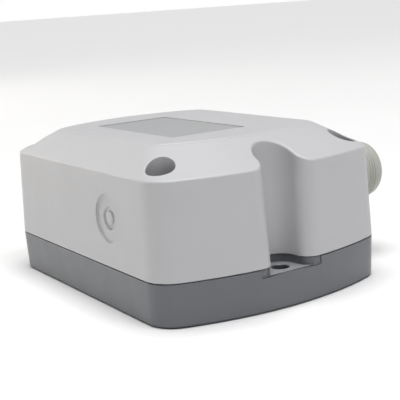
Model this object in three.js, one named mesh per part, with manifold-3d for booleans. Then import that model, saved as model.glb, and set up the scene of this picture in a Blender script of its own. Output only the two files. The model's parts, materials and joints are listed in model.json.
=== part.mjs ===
// Motorised actuator head: a two-part plastic enclosure with a geared motor, a two-stage gear
// train, limit switches and a wiring board inside, and a cable gland in one wall.
// Millimetres, +Z up. The origin is the middle of the underside.
import * as THREE from 'three';
import { mergeVertices } from 'three/addons/utils/BufferGeometryUtils.js';
import Module from 'manifold-3d';

const wasm = await Module();
wasm.setup();

// ---------------------------------------------------------------- driving dimensions
const WIDTH = 90; // across the two straight sides at the joint line
const LENGTH = 107.7; // along Y at the joint line, before the ends bow out
const END_BOW = 9.24; // how far the middle of each end stands out
const CORNER_RADIUS = 10.5;
const JOINT_Z = 14.3; // joint line between base and cover
const JOINT_GAP = 0.4; // open line that the gasket closes
const SHOULDER_Z = 45.75; // where the walls turn into the sloping shoulder
const TOP_Z = 53.95;
const TOP_CORNER_RADIUS = 7.8;
const SHOULDER_SIDE = 10.7; // how far the shoulder runs in at the sides
const SHOULDER_END = 16.1; // and at the bowed ends
const LAND_INSET = 1.3; // the top face is a low land inside a narrow margin
const LAND_HEIGHT = 0.35;
const DRAFT = Math.tan(THREE.MathUtils.degToRad(1.75)); // slope of every moulded wall
const COVER_WALL = 2.6;
const BASE_WALL = 3.2;
const FLOOR = 3;
const GAP = 0.3; // clearance between pieces that meet

const CHANNEL_CENTRE = 56; // fixing holes and the round inner ends of the fixing channels
const CHANNEL_HALF = 5.9;
const CHANNEL_FLARE = 5.2; // radius that opens the channel into the end wall
const CHANNEL_SHOULDER = 62.5; // where that radius meets the end wall
const CHANNEL_REACH = 72; // past the end wall
const PAD_Z = 11.65; // top of the fixing pads
const FIXING_HOLE_R = 2.9;

const COVER_SCREW = { x: 36.35, y: 46.4, shelf: 22, counterbore: 4.63, boss: 6.4 };
const LABEL = { x0: -20.1, x1: 9.7, y: 27.4, depth: 0.9 };
const ENTRY = { y: -23.3, z: 30.6, hole: 8.3 }; // cable entry, with the knock-out opposite
const WALL_X = WIDTH / 2 - DRAFT * (ENTRY.z - JOINT_Z); // outside of the wall at its height
const KNOCK_OUT = { radius: 8.15, depth: 0.8, ringInner: 2.2, ringOuter: 3.9, ringDepth: 1.5 };

const MODULE = 0.8;
const PRESSURE_ANGLE = THREE.MathUtils.degToRad(20);
const BACKLASH = 0.14;
const ADDENDUM = 0.9;
const DEDENDUM = 1.25;
const TEETH = { output: 60, idlerPinion: 16, idlerWheel: 40, motorPinion: 16 };
const CENTRE_SLACK = 0.05; // added to both centre distances

const PLATE_Z = 16; // underside of the gear plate
const PLATE_T = 1.5;
const OUTPUT = new THREE.Vector2(0, 20);
const MOTOR = new THREE.Vector2(-20.5, -6);

// The idler stands where it meets both the output wheel and the motor pinion.
const OUTPUT_DISTANCE = (MODULE * (TEETH.output + TEETH.idlerPinion)) / 2 + CENTRE_SLACK;
const MOTOR_DISTANCE = (MODULE * (TEETH.idlerWheel + TEETH.motorPinion)) / 2 + CENTRE_SLACK;
const IDLER = circlesMeet(OUTPUT, OUTPUT_DISTANCE, MOTOR, MOTOR_DISTANCE);

const PLATE = { x0: -39, x1: 29, y0: -34, y1: 39, corner: 5 };
const PLATE_PILLARS = [[-35, -29], [24, -29], [-32, 34], [26, 36]];
const BOARD = { x0: 3, x1: 31, y0: -41, y1: -8, z: 21, t: 1.6 };
const BOARD_PILLARS = [[7, -37], [27, -38.2]];
const BOARD_SPACER = [27, -11];
const MOTOR_EAR = 24; // screw distance from the motor's axis
const SWITCH = { x0: 14.6, x1: 24.6, y0: 2, y1: 22, thickness: 6.2 };
const SWITCH_Z = [19.2, 25.7];
const SWITCH_SCREWS = [[21.6, 7.2], [21.6, 16.8]];
const LEVER_PIVOT = [14.0, 3.6];
const PLUNGER = { y: 9, radius: 0.8, out: 0.55, inside: 3 }; // out: how far it stands out of the switch

// Screws: head radius, head height, shank radius, length below the head, cross width.
const COVER_SCREW_SIZES = [3.6, 2.6, 1.9, 16.5, 0.9];
const PLATE_SCREW_SIZES = [2.7, 1.8, 1.3, 10, 0.7];
const MOTOR_SCREW_SIZES = [2.6, 1.8, 1.2, 4.6, 0.7];
const SWITCH_SCREW_SIZES = [2.1, 1.5, 1, 16.8, 0.6];
const CAM_SCREW_SIZES = [2.8, 2, 1.2, 6, 0.7];
const BOARD_SCREW_SIZES = [2.3, 1.6, 1.1];
const BOARD_SCREW_LENGTHS = [9, 9, 5]; // two in pillars, one in the spacer
const BOARD_SCREW_CROSS = 0.6;
const PLATE_HOLES = { pillar: 1.7, output: 6.8, idler: 1.8, motor: 6, motorEar: 1.6, spacer: 1.4 };
const SWITCH_HOLE_R = 1.35;
const WIRE_R = 0.62;

// ---------------------------------------------------------------- materials
function material(color, roughness, metalness = 0) {
  return new THREE.MeshStandardMaterial({ color, roughness, metalness });
}
const COVER_PLASTIC = material(0xd9dad9, 0.5);
const BASE_PLASTIC = material(0x74777c, 0.55);
const LABEL_FILM = material(0xb9bab9, 0.4);
const GLAND_PLASTIC = material(0xb4b4ac, 0.45);
const RUBBER = material(0x242526, 0.85);
const STEEL = material(0xb8bcc0, 0.35, 1);
const BRASS = material(0xc9a24f, 0.35, 1);
const ACETAL = material(0xe9e6dc, 0.4);
const CAM_RED = material(0xb0402f, 0.45);
const CAM_BLUE = material(0x2f5ca8, 0.45);
const SWITCH_BLACK = material(0x1d1e20, 0.5);
const BOARD_GREEN = material(0x1f6b45, 0.45);
const BLOCK_GREEN = material(0x4f9a66, 0.5);
const CAPACITOR_BLUE = material(0x2c6f9f, 0.3);
const ZINC = material(0xa9adb0, 0.4, 1);
const WIRE_BROWN = material(0x6b3d22, 0.5);
const WIRE_BLUE = material(0x2456a6, 0.5);
const WIRE_BLACK = material(0x1b1b1d, 0.5);

// ---------------------------------------------------------------- solids
function signedVolume(positions, index) {
  const a = new THREE.Vector3();
  const b = new THREE.Vector3();
  const c = new THREE.Vector3();
  let volume = 0;
  for (let i = 0; i < index.count; i += 3) {
    a.fromBufferAttribute(positions, index.getX(i));
    b.fromBufferAttribute(positions, index.getX(i + 1));
    c.fromBufferAttribute(positions, index.getX(i + 2));
    volume += a.dot(b.cross(c)) / 6;
  }
  return volume;
}

// A closed geometry as a solid that can be joined and cut, with its faces pointing out.
function solid(geometry) {
  geometry.deleteAttribute('normal');
  geometry.deleteAttribute('uv');
  const merged = mergeVertices(geometry, 1e-4);
  const triVerts = Uint32Array.from(merged.index.array);
  if (signedVolume(merged.attributes.position, merged.index) < 0) {
    triVerts.reverse();
  }
  const vertProperties = Float32Array.from(merged.attributes.position.array);
  return new wasm.Manifold(new wasm.Mesh({ numProp: 3, vertProperties, triVerts }));
}

function surface(body) {
  const mesh = body.getMesh();
  const geometry = new THREE.BufferGeometry();
  geometry.setAttribute('position', new THREE.BufferAttribute(mesh.vertProperties, 3));
  geometry.setIndex(new THREE.BufferAttribute(mesh.triVerts, 1));
  geometry.computeVertexNormals();
  return geometry;
}

function joined(first, ...others) {
  return others.reduce((sum, next) => sum.add(next), first);
}

function cut(first, ...others) {
  return others.reduce((rest, next) => rest.subtract(next), first);
}

function box(x0, x1, y0, y1, z0, z1) {
  const geometry = new THREE.BoxGeometry(x1 - x0, y1 - y0, z1 - z0);
  geometry.translate((x0 + x1) / 2, (y0 + y1) / 2, (z0 + z1) / 2);
  return solid(geometry);
}

function rod(radius, z0, z1, x = 0, y = 0, sides = 24) {
  const geometry = new THREE.CylinderGeometry(radius, radius, z1 - z0, sides);
  geometry.rotateX(Math.PI / 2);
  geometry.translate(x, y, (z0 + z1) / 2);
  return solid(geometry);
}

function rodAlongX(radius, x0, x1, y, z, sides = 24) {
  const geometry = new THREE.CylinderGeometry(radius, radius, x1 - x0, sides);
  geometry.rotateZ(Math.PI / 2);
  geometry.translate((x0 + x1) / 2, y, z);
  return solid(geometry);
}

// A turned solid about Z from pairs of radius and height that start and end on the axis.
function turned(profile, sides = 32) {
  const points = profile.map(([radius, height]) => new THREE.Vector2(radius, height));
  const geometry = new THREE.LatheGeometry(points, sides);
  geometry.rotateX(Math.PI / 2);
  return solid(geometry);
}

// A turned ring about Z from its closed section.
function ring(inner, outer, z0, z1, sides = 32) {
  return turned([[inner, z0], [outer, z0], [outer, z1], [inner, z1], [inner, z0]], sides);
}

function prism(points, z0, z1) {
  const shape = new THREE.Shape(points);
  const geometry = new THREE.ExtrudeGeometry(shape, { depth: z1 - z0, bevelEnabled: false });
  geometry.translate(0, 0, z0);
  return solid(geometry);
}

function nearestIndex(points, x, y) {
  const distances = points.map((point) => Math.hypot(point.x - x, point.y - y));
  return distances.indexOf(Math.min(...distances));
}

// An extrusion from one outline to another that has the same number of points.
function tapered(lower, upper, z0, z1) {
  const shape = new THREE.Shape(lower);
  const geometry = new THREE.ExtrudeGeometry(shape, { depth: z1 - z0, bevelEnabled: false });
  const positions = geometry.attributes.position;
  for (let i = 0; i < positions.count; i += 1) {
    if (positions.getZ(i) > 0) {
      const point = upper[nearestIndex(lower, positions.getX(i), positions.getY(i))];
      positions.setXY(i, point.x, point.y);
    }
  }
  geometry.translate(0, 0, z0);
  return solid(geometry);
}

function polygon(pairs) {
  return pairs.map(([x, y]) => new THREE.Vector2(x, y));
}

function roundedRectangle(x0, x1, y0, y1, radius, steps = 4) {
  const corners = [[x1 - radius, y1 - radius], [x0 + radius, y1 - radius],
    [x0 + radius, y0 + radius], [x1 - radius, y0 + radius]];
  const points = [];
  corners.forEach(([x, y], quarter) => {
    for (let i = 0; i <= steps; i += 1) {
      const angle = ((quarter + i / steps) * Math.PI) / 2;
      points.push(new THREE.Vector2(x + radius * Math.cos(angle), y + radius * Math.sin(angle)));
    }
  });
  return points;
}

function hexagon(acrossFlats) {
  const radius = acrossFlats / Math.sqrt(3);
  const corners = [0, 1, 2, 3, 4, 5].map((i) => (i * Math.PI) / 3);
  return corners.map((a) => new THREE.Vector2(radius * Math.cos(a), radius * Math.sin(a)));
}

// Where two circles meet, on the right of the line from the first centre to the second.
function circlesMeet(first, firstRadius, second, secondRadius) {
  const along = second.clone().sub(first);
  const distance = along.length();
  along.divideScalar(distance);
  const run = (firstRadius ** 2 - secondRadius ** 2 + distance ** 2) / (2 * distance);
  const rise = Math.sqrt(firstRadius ** 2 - run ** 2);
  const across = new THREE.Vector2(-along.y, along.x);
  return first.clone().addScaledVector(along, run).addScaledVector(across, rise);
}

// ---------------------------------------------------------------- enclosure outlines
const CORNER_STEPS = 4;
const END_STEPS = 4;

// Plan outline: straight sides, bowed ends and rounded corners, anticlockwise.
function planOutline(halfWidth, halfLength, radius) {
  const endRadius = (halfWidth ** 2 + END_BOW ** 2) / (2 * END_BOW);
  const endCentre = halfLength + END_BOW - endRadius;
  const cornerX = halfWidth - radius;
  const cornerY = endCentre + Math.sqrt((endRadius - radius) ** 2 - cornerX ** 2);
  const meeting = Math.atan2(cornerY - endCentre, cornerX);
  const quarter = [];
  for (let i = 0; i <= CORNER_STEPS; i += 1) {
    const angle = (meeting * i) / CORNER_STEPS;
    quarter.push([cornerX + radius * Math.cos(angle), cornerY + radius * Math.sin(angle)]);
  }
  for (let i = 1; i < END_STEPS; i += 1) {
    const angle = THREE.MathUtils.lerp(meeting, Math.PI / 2, i / END_STEPS);
    quarter.push([endRadius * Math.cos(angle), endCentre + endRadius * Math.sin(angle)]);
  }
  const left = quarter.map(([x, y]) => [-x, y]).reverse();
  const half = [...quarter, [0, halfLength + END_BOW], ...left];
  return polygon([...half, ...half.map(([x, y]) => [-x, -y])]);
}

function wallOutline(z, inset = 0) {
  const slope = z > JOINT_Z ? DRAFT * (z - JOINT_Z) : DRAFT * (JOINT_Z - z);
  const all = inset + slope;
  return planOutline(WIDTH / 2 - all, LENGTH / 2 - all, CORNER_RADIUS - inset);
}

function topOutline(inset) {
  const slope = DRAFT * (TOP_Z - JOINT_Z);
  const halfWidth = WIDTH / 2 - slope - SHOULDER_SIDE - inset;
  const halfLength = LENGTH / 2 - slope - SHOULDER_END - inset;
  return planOutline(halfWidth, halfLength, TOP_CORNER_RADIUS - inset);
}

// Plan of one fixing channel: a round inner end, straight sides and flared mouth.
// end is 1 for the +Y end and -1 for the -Y end.
function channelOutline(end, grow, slope) {
  const half = CHANNEL_HALF + grow + slope;
  const flare = CHANNEL_FLARE - grow;
  const mouth = CHANNEL_SHOULDER - grow - slope;
  const side = [[half + flare, CHANNEL_REACH]];
  const flareSteps = 4;
  for (let i = 0; i <= flareSteps; i += 1) {
    const angle = (Math.PI / 2) * (1 + i / flareSteps);
    side.push([half + flare + flare * Math.cos(angle), mouth - flare + flare * Math.sin(angle)]);
  }
  const endSteps = 5;
  for (let i = 0; i < endSteps; i += 1) {
    const angle = (-Math.PI / 2) * (i / endSteps);
    side.push([half * Math.cos(angle), CHANNEL_CENTRE + half * Math.sin(angle)]);
  }
  const mirrored = side.map(([x, y]) => [-x, y]).reverse();
  const loop = [...side, [0, CHANNEL_CENTRE - half], ...mirrored].reverse();
  return polygon(loop.map(([x, y]) => [end * x, end * y]));
}

function channelBlock(end, grow, z0, z1) {
  const lower = channelOutline(end, grow, DRAFT * Math.max(0, z0 - JOINT_Z));
  const upper = channelOutline(end, grow, DRAFT * Math.max(0, z1 - JOINT_Z));
  return tapered(lower, upper, z0, z1);
}

function bothChannels(grow, z0, z1) {
  return channelBlock(1, grow, z0, z1).add(channelBlock(-1, grow, z0, z1));
}

// The rim's own plan, between two distances in from the outside.
function rimRing(outerInset, innerInset, z0, z1) {
  const loop = (inset) => {
    const outline = wallOutline(JOINT_Z, inset);
    return prism(outline, z0, z1).subtract(bothChannels(inset, z0 - 1, z1 + 1));
  };
  const hole = (inset) => {
    const outline = wallOutline(JOINT_Z, inset);
    return prism(outline, z0 - 0.5, z1 + 0.5).subtract(bothChannels(inset, z0 - 1, z1 + 1));
  };
  return loop(outerInset).subtract(hole(innerInset));
}

function coverScrewPlaces() {
  const { x, y } = COVER_SCREW;
  return [[-x, -y], [x, -y], [-x, y], [x, y]];
}

// ---------------------------------------------------------------- base
const BASE_TOP = JOINT_Z - JOINT_GAP / 2;
const COVER_BOTTOM = JOINT_Z + JOINT_GAP / 2;
const PILLAR_TOP = PLATE_Z - GAP;
const BUSH_BORE_R = 9.9; // hole in the base for the output bush
const LIP_R = 8.6; // lip below the bush
const LIP_T = 1.2;
const IDLER_BOSS_R = 3.6;

function baseHousing() {
  let body = tapered(wallOutline(0), wallOutline(BASE_TOP), 0, BASE_TOP);
  const hollow = prism(wallOutline(BASE_TOP, BASE_WALL), FLOOR, BASE_TOP + 1);
  body = cut(body, hollow.subtract(bothChannels(BASE_WALL, 0, BASE_TOP + 2)));
  const posts = [
    ...coverScrewPlaces().map(([x, y]) => rod(5, FLOOR - 1, BASE_TOP, x, y, 16)),
    ...PLATE_PILLARS.map(([x, y]) => rod(3.6, FLOOR - 1, PILLAR_TOP, x, y, 12)),
    ...BOARD_PILLARS.map(([x, y]) => rod(3, FLOOR - 1, BOARD.z - GAP, x, y, 12)),
    rod(12.5, FLOOR - 1, 7, OUTPUT.x, OUTPUT.y, 24),
    rod(IDLER_BOSS_R, FLOOR - 1, 4, IDLER.x, IDLER.y, 12),
  ];
  body = joined(body, ...posts);
  const holes = [
    bothChannels(0, PAD_Z, BASE_TOP + 2),
    rod(FIXING_HOLE_R, -1, PAD_Z + 1, 0, CHANNEL_CENTRE),
    rod(FIXING_HOLE_R, -1, PAD_Z + 1, 0, -CHANNEL_CENTRE),
    rimRing(0.95, 2.35, JOINT_Z - 1.3, BASE_TOP + 1),
    ...coverScrewPlaces().map(([x, y]) => rod(2.2, 4, BASE_TOP + 1, x, y, 10)),
    ...PLATE_PILLARS.map(([x, y]) => rod(1.7, 6.5, PILLAR_TOP + 1, x, y, 8)),
    ...BOARD_PILLARS.map(([x, y]) => rod(1.5, 11, BOARD.z + 1, x, y, 8)),
    rod(BUSH_BORE_R, LIP_T, 8, OUTPUT.x, OUTPUT.y, 24),
    rod(LIP_R, -1, 2, OUTPUT.x, OUTPUT.y, 24),
    rod(1.8, 1.2, 5, IDLER.x, IDLER.y, 12),
  ];
  return cut(body, ...holes);
}

function coverGasket() {
  return rimRing(1.1, 2.2, JOINT_Z - 1.15, COVER_BOTTOM - 0.1);
}

// ---------------------------------------------------------------- cover
const INNER_SHOULDER_Z = SHOULDER_Z - 1.3;
const INNER_TOP_Z = TOP_Z - 2.75;
const LAND_Z = TOP_Z + LAND_HEIGHT;

function coverOutside() {
  const walls = tapered(wallOutline(COVER_BOTTOM), wallOutline(SHOULDER_Z), COVER_BOTTOM, SHOULDER_Z);
  const shoulder = tapered(wallOutline(SHOULDER_Z), topOutline(0), SHOULDER_Z, TOP_Z);
  const land = prism(topOutline(LAND_INSET), TOP_Z - 1, LAND_Z);
  return joined(walls, shoulder, land);
}

function coverInside() {
  const low = COVER_BOTTOM - 1;
  const wall = wallOutline(INNER_SHOULDER_Z, COVER_WALL);
  const walls = tapered(wallOutline(COVER_BOTTOM, COVER_WALL), wall, low, INNER_SHOULDER_Z);
  return walls.add(tapered(wall, topOutline(LAND_INSET), INNER_SHOULDER_Z, INNER_TOP_Z));
}

// The blank cable entry: a disc sunk square to the sloping wall, with a deeper ring at its middle.
function knockOut() {
  const { radius, depth, ringInner, ringOuter, ringDepth } = KNOCK_OUT;
  const disc = rod(radius, -depth, 2, 0, 0, 28);
  const middle = ring(ringInner, ringOuter, -ringDepth, 2, 20);
  const tilt = new THREE.Matrix4().makeRotationY(-Math.PI / 2 + Math.atan(DRAFT));
  tilt.setPosition(-WALL_X, ENTRY.y, ENTRY.z);
  return disc.add(middle).transform(tilt.elements);
}

function coverShell() {
  const outside = coverOutside();
  const { shelf, counterbore, boss } = COVER_SCREW;
  const high = LAND_Z + 2;
  const linings = [
    bothChannels(COVER_WALL, COVER_BOTTOM, high),
    ...coverScrewPlaces().map(([x, y]) => rod(boss, COVER_BOTTOM, high, x, y, 16)),
  ].map((lining) => lining.intersect(outside));
  const shell = joined(outside.subtract(coverInside()), ...linings);
  const panel = box(LABEL.x0, LABEL.x1, -LABEL.y, LABEL.y, LAND_Z - LABEL.depth, high);
  return cut(
    shell,
    bothChannels(0, COVER_BOTTOM - 1, high),
    ...coverScrewPlaces().map(([x, y]) => rod(counterbore, shelf, high, x, y, 20)),
    ...coverScrewPlaces().map(([x, y]) => rod(2.3, COVER_BOTTOM - 1, shelf + 1, x, y, 10)),
    rodAlongX(ENTRY.hole, WIDTH / 2 - 8, WIDTH / 2 + 5, ENTRY.y, ENTRY.z, 24),
    panel,
    knockOut(),
  );
}

function labelPanel() {
  const z = LAND_Z - LABEL.depth + 0.1;
  const edge = GAP / 2;
  return prism(
    roundedRectangle(LABEL.x0 + edge, LABEL.x1 - edge, -LABEL.y + edge, LABEL.y - edge, 0.6, 2),
    z,
    z + 0.5,
  );
}

// ---------------------------------------------------------------- fasteners
// A screw standing on z: its head above, its shank below, and a cross or slot in the head.
function screw(headRadius, headHeight, shankRadius, length, slot) {
  const profile = [
    [0, -length],
    [shankRadius, -length + shankRadius],
    [shankRadius, 0],
    [headRadius, 0],
    [headRadius * 0.85, headHeight],
    [0, headHeight],
  ];
  const body = turned(profile, 12);
  const half = headRadius * 0.6;
  const deep = headHeight * 0.5;
  const bar = box(-half, half, -slot / 2, slot / 2, deep, headHeight + 1);
  const cross = box(-slot / 2, slot / 2, -half, half, deep, headHeight + 1);
  return cut(body, bar, cross);
}

// ---------------------------------------------------------------- gears
// Involute spur gear outline with a tooth centred on the angle given.
function gearOutline(teeth, firstTooth, flankSteps) {
  const pitch = (MODULE * teeth) / 2;
  const base = pitch * Math.cos(PRESSURE_ANGLE);
  const tip = pitch + ADDENDUM * MODULE;
  const root = pitch - DEDENDUM * MODULE;
  const involute = (radius) => {
    const angle = Math.acos(Math.min(1, base / radius));
    return Math.tan(angle) - angle;
  };
  const halfTooth = Math.PI / (2 * teeth) - BACKLASH / (2 * pitch) + involute(pitch);
  const start = Math.max(root, base);
  const flank = [[root, halfTooth]];
  for (let i = 0; i <= flankSteps; i += 1) {
    const radius = THREE.MathUtils.lerp(start, tip, i / flankSteps);
    if (radius > root + 0.01) {
      flank.push([radius, halfTooth - involute(radius)]);
    }
  }
  const points = [];
  for (let tooth = 0; tooth < teeth; tooth += 1) {
    const middle = firstTooth + (tooth * 2 * Math.PI) / teeth;
    const rising = flank.map(([radius, half]) => [radius, middle - half]);
    const falling = flank.map(([radius, half]) => [radius, middle + half]).reverse();
    for (const [radius, angle] of [...rising, ...falling]) {
      points.push([radius * Math.cos(angle), radius * Math.sin(angle)]);
    }
  }
  return polygon(points);
}

function gear(teeth, firstTooth, z0, z1, flankSteps = 1) {
  return prism(gearOutline(teeth, firstTooth, flankSteps), z0, z1);
}

const TO_IDLER = Math.atan2(IDLER.y - OUTPUT.y, IDLER.x - OUTPUT.x);
const TO_MOTOR = Math.atan2(MOTOR.y - IDLER.y, MOTOR.x - IDLER.x);
const LAYER_LOW = { z0: 4.3, z1: 8.2 }; // motor pinion and idler wheel
const LAYER_HIGH = { z0: 9.1, z1: 14 }; // idler pinion and output wheel

function outputGear() {
  const blank = gear(TEETH.output, TO_IDLER, LAYER_HIGH.z0, LAYER_HIGH.z1);
  const rim = ring(11.5, 21, 12.6, 15, 24);
  const relief = ring(11.5, 21, 8, 10.4, 24);
  return cut(blank, rim, relief, rod(8.3, 8, 16, 0, 0, 24));
}

function idlerGear() {
  const gapTurn = Math.PI / TEETH.idlerPinion;
  const top = LAYER_HIGH.z1 + 0.6;
  const pinion = gear(TEETH.idlerPinion, TO_IDLER + Math.PI + gapTurn, LAYER_LOW.z1 - 0.5, top, 2);
  const wheel = gear(TEETH.idlerWheel, TO_MOTOR, LAYER_LOW.z0, LAYER_LOW.z1);
  return cut(wheel.add(pinion), rod(1.65, 3, 16, 0, 0, 16));
}

function motorPinion() {
  const gapTurn = Math.PI / TEETH.motorPinion;
  const facing = TO_MOTOR + Math.PI + gapTurn;
  const pinion = gear(TEETH.motorPinion, facing, LAYER_LOW.z0, LAYER_LOW.z1 + 0.4, 2);
  return cut(pinion, rod(2.3, 3, 10, 0, 0, 16));
}

// ---------------------------------------------------------------- output shaft and cams
const SOCKET = 9; // square drive, across flats
const SOCKET_DEPTH = 12;
const SHAFT_TOP = 31.2;

function outputShaft() {
  const profile = [
    [0, 0.4], [8, 0.4], [8, 3.4], [6.9, 3.4], [6.9, 5.2], [8, 5.2], [8, 8.4], [10.4, 8.4],
    [10.4, 8.8], [8, 8.8], [8, 14.3], [6.6, 14.3], [6.6, 15.6], [5, 15.6], [5, 19.2],
    [4, 19.2], [4, SHAFT_TOP], [0, SHAFT_TOP],
  ];
  const half = SOCKET / 2;
  const socket = box(-half, half, -half, half, -1, SOCKET_DEPTH);
  const flat = box(3.2, 6, -6, 6, 19.4, SHAFT_TOP + 1);
  return cut(turned(profile, 24), socket, flat, rod(1.5, SHAFT_TOP - 8, SHAFT_TOP + 1, 0, 0, 12));
}

function shaftRing() {
  const section = [];
  const sides = 6;
  for (let i = 0; i <= sides; i += 1) {
    const angle = (i * 2 * Math.PI) / sides;
    section.push([7.56 + 0.48 * Math.cos(angle), 4.3 + 0.7 * Math.sin(angle)]);
  }
  return turned(section, 24);
}

// A cam disc whose lobe points along the angle given, with a collar above it.
function cam(lobeAngle, z0, z1, collarTop) {
  const points = [];
  const steps = 36;
  const rise = 2.5;
  const spread = THREE.MathUtils.degToRad(24);
  for (let i = 0; i < steps; i += 1) {
    const angle = (i * 2 * Math.PI) / steps;
    const away = Math.abs(Math.atan2(Math.sin(angle - lobeAngle), Math.cos(angle - lobeAngle)));
    const lift = away < spread ? (1 + Math.cos((Math.PI * away) / spread)) / 2 : 0;
    const radius = 8.5 + rise * lift;
    points.push([radius * Math.cos(angle), radius * Math.sin(angle)]);
  }
  const disc = prism(polygon(points), z0, z1);
  const collar = rod(6.4, z1 - 0.5, collarTop, 0, 0, 24);
  const bore = rod(4.3, z0 - 1, collarTop + 1, 0, 0, 24).subtract(box(3.5, 6, -6, 6, 0, 40));
  return cut(disc.add(collar), bore);
}

// ---------------------------------------------------------------- bearings
function outputBush() {
  const section = [[8.2, LIP_T + GAP], [9.6, LIP_T + GAP], [9.6, 7.3], [11.6, 7.3], [11.6, 8.1],
    [8.2, 8.1], [8.2, LIP_T + GAP]];
  return turned(section, 24);
}

function plateBush() {
  const seat = PLATE_Z + PLATE_T + GAP;
  const section = [[5.2, PLATE_Z - 0.1], [6.5, PLATE_Z - 0.1], [6.5, seat], [8, seat], [8, 18.6],
    [5.2, 18.6], [5.2, PLATE_Z - 0.1]];
  return turned(section, 24);
}

function idlerAxle() {
  const top = PLATE_Z + PLATE_T + 0.7;
  return turned([[0, 1.5], [1.5, 1.5], [1.5, top - 0.3], [1.2, top], [0, top]], 16);
}

// ---------------------------------------------------------------- plate, motor and switches
function gearPlate() {
  const { x0, x1, y0, y1, corner } = PLATE;
  const low = PLATE_Z - 1;
  const high = PLATE_Z + PLATE_T + 1;
  return cut(
    prism(roundedRectangle(x0, x1, y0, y1, corner), PLATE_Z, PLATE_Z + PLATE_T),
    ...PLATE_PILLARS.map(([x, y]) => rod(PLATE_HOLES.pillar, low, high, x, y, 8)),
    rod(PLATE_HOLES.output, low, high, OUTPUT.x, OUTPUT.y, 24),
    rod(PLATE_HOLES.idler, low, high, IDLER.x, IDLER.y, 10),
    rod(PLATE_HOLES.motor, low, high, MOTOR.x, MOTOR.y, 16),
    rod(PLATE_HOLES.motorEar, low, high, MOTOR.x, MOTOR.y + MOTOR_EAR, 8),
    rod(PLATE_HOLES.motorEar, low, high, MOTOR.x, MOTOR.y - MOTOR_EAR, 8),
    ...SWITCH_SCREWS.map(([x, y]) => rod(SWITCH_HOLE_R, low, high, x, y, 8)),
    rod(PLATE_HOLES.spacer, low, high, ...BOARD_SPACER, 8),
  );
}

const MOTOR_FOOT = PLATE_Z + PLATE_T + GAP;
const CAN_Z = MOTOR_FOOT + 9.2;
const CAN_TOP = CAN_Z + 14;
const CAN_R = 20;

function motorGearcase() {
  const drum = turned([[0, MOTOR_FOOT], [19.4, MOTOR_FOOT], [CAN_R, MOTOR_FOOT + 0.6],
    [CAN_R, CAN_Z - GAP], [0, CAN_Z - GAP]], 28);
  const earEnd = MOTOR_EAR + 4;
  const strapOutline = roundedRectangle(-4, 4, -earEnd, earEnd, 3.9);
  const strap = prism(strapOutline, MOTOR_FOOT, MOTOR_FOOT + 1.4);
  const low = MOTOR_FOOT - 1;
  return cut(
    drum.add(strap),
    rod(2.4, low, MOTOR_FOOT + 6, 0, 0, 16),
    rod(PLATE_HOLES.motorEar, low, MOTOR_FOOT + 3, 0, MOTOR_EAR, 12),
    rod(PLATE_HOLES.motorEar, low, MOTOR_FOOT + 3, 0, -MOTOR_EAR, 12),
  );
}

function motorCan() {
  return turned([[0, CAN_Z], [CAN_R, CAN_Z], [CAN_R, CAN_TOP - 2], [CAN_R - 0.6, CAN_TOP - 0.6],
    [CAN_R - 2, CAN_TOP], [6.5, CAN_TOP], [6, CAN_TOP + 0.6], [0, CAN_TOP + 0.6]], 28);
}

function motorShaft() {
  const top = MOTOR_FOOT + 5.4;
  return turned([[0, 4], [2, 4], [2, top], [0, top]], 16);
}

function switchBody(z) {
  const { x0, x1, y0, y1, thickness } = SWITCH;
  const [pivotX, pivotY] = LEVER_PIVOT;
  const bodyBlock = prism(roundedRectangle(x0, x1, y0, y1, 0.6, 2), z, z + thickness);
  const cheeks = box(pivotX - 1, x0 + 0.5, pivotY - 1.2, pivotY + 1.2, z + 0.2, z + thickness - 0.2);
  const slot = box(pivotX - 2, x0, pivotY - 2, pivotY + 2, z + 0.8, z + thickness - 0.8);
  return cut(
    bodyBlock.add(cheeks),
    slot,
    ...SWITCH_SCREWS.map(([x, y]) => rod(SWITCH_HOLE_R, z - 1, z + thickness + 1, x, y, 12)),
    rodAlongX(PLUNGER.radius + 0.2, x0 - 1, x0 + PLUNGER.inside + 1, PLUNGER.y, z + thickness / 2, 16),
  );
}

function switchPlunger(z) {
  const { x0, thickness } = SWITCH;
  const { y, radius, out, inside } = PLUNGER;
  return rodAlongX(radius, x0 - out, x0 + inside, y, z + thickness / 2, 16);
}

// Sheet lever with a rounded follower near its tip.
function switchLever(z) {
  const half = 2;
  const middle = z + SWITCH.thickness / 2;
  const inner = [[13.9, 2.9], [13.0, 17.2], [11.95, 18.8], [11.75, 20], [11.95, 21.2], [13.0, 22.6]];
  const outer = [[13.4, 22.8], [12.35, 21.4], [12.15, 20], [12.35, 18.6], [13.4, 17.2], [14.3, 3]];
  const reversed = [...outer].reverse();
  const loop = [...reversed, ...[...inner].reverse()];
  return prism(polygon(loop), middle - half, middle + half);
}

// ---------------------------------------------------------------- wiring board
function circuitBoard() {
  const { x0, x1, y0, y1, z, t } = BOARD;
  return cut(
    box(x0, x1, y0, y1, z, z + t),
    ...[...BOARD_PILLARS, BOARD_SPACER].map(([x, y]) => rod(1.5, z - 1, z + t + 1, x, y, 12)),
  );
}

const BLOCK = { x0: 19, x1: 30, y0: -35, poles: 4, pitch: 5, height: 11, screwIn: 4.2 };
const BLOCK_Z = BOARD.z + BOARD.t + GAP;

function poleY(pole) {
  return BLOCK.y0 + 0.5 + BLOCK.pitch * (pole + 0.5);
}

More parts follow.
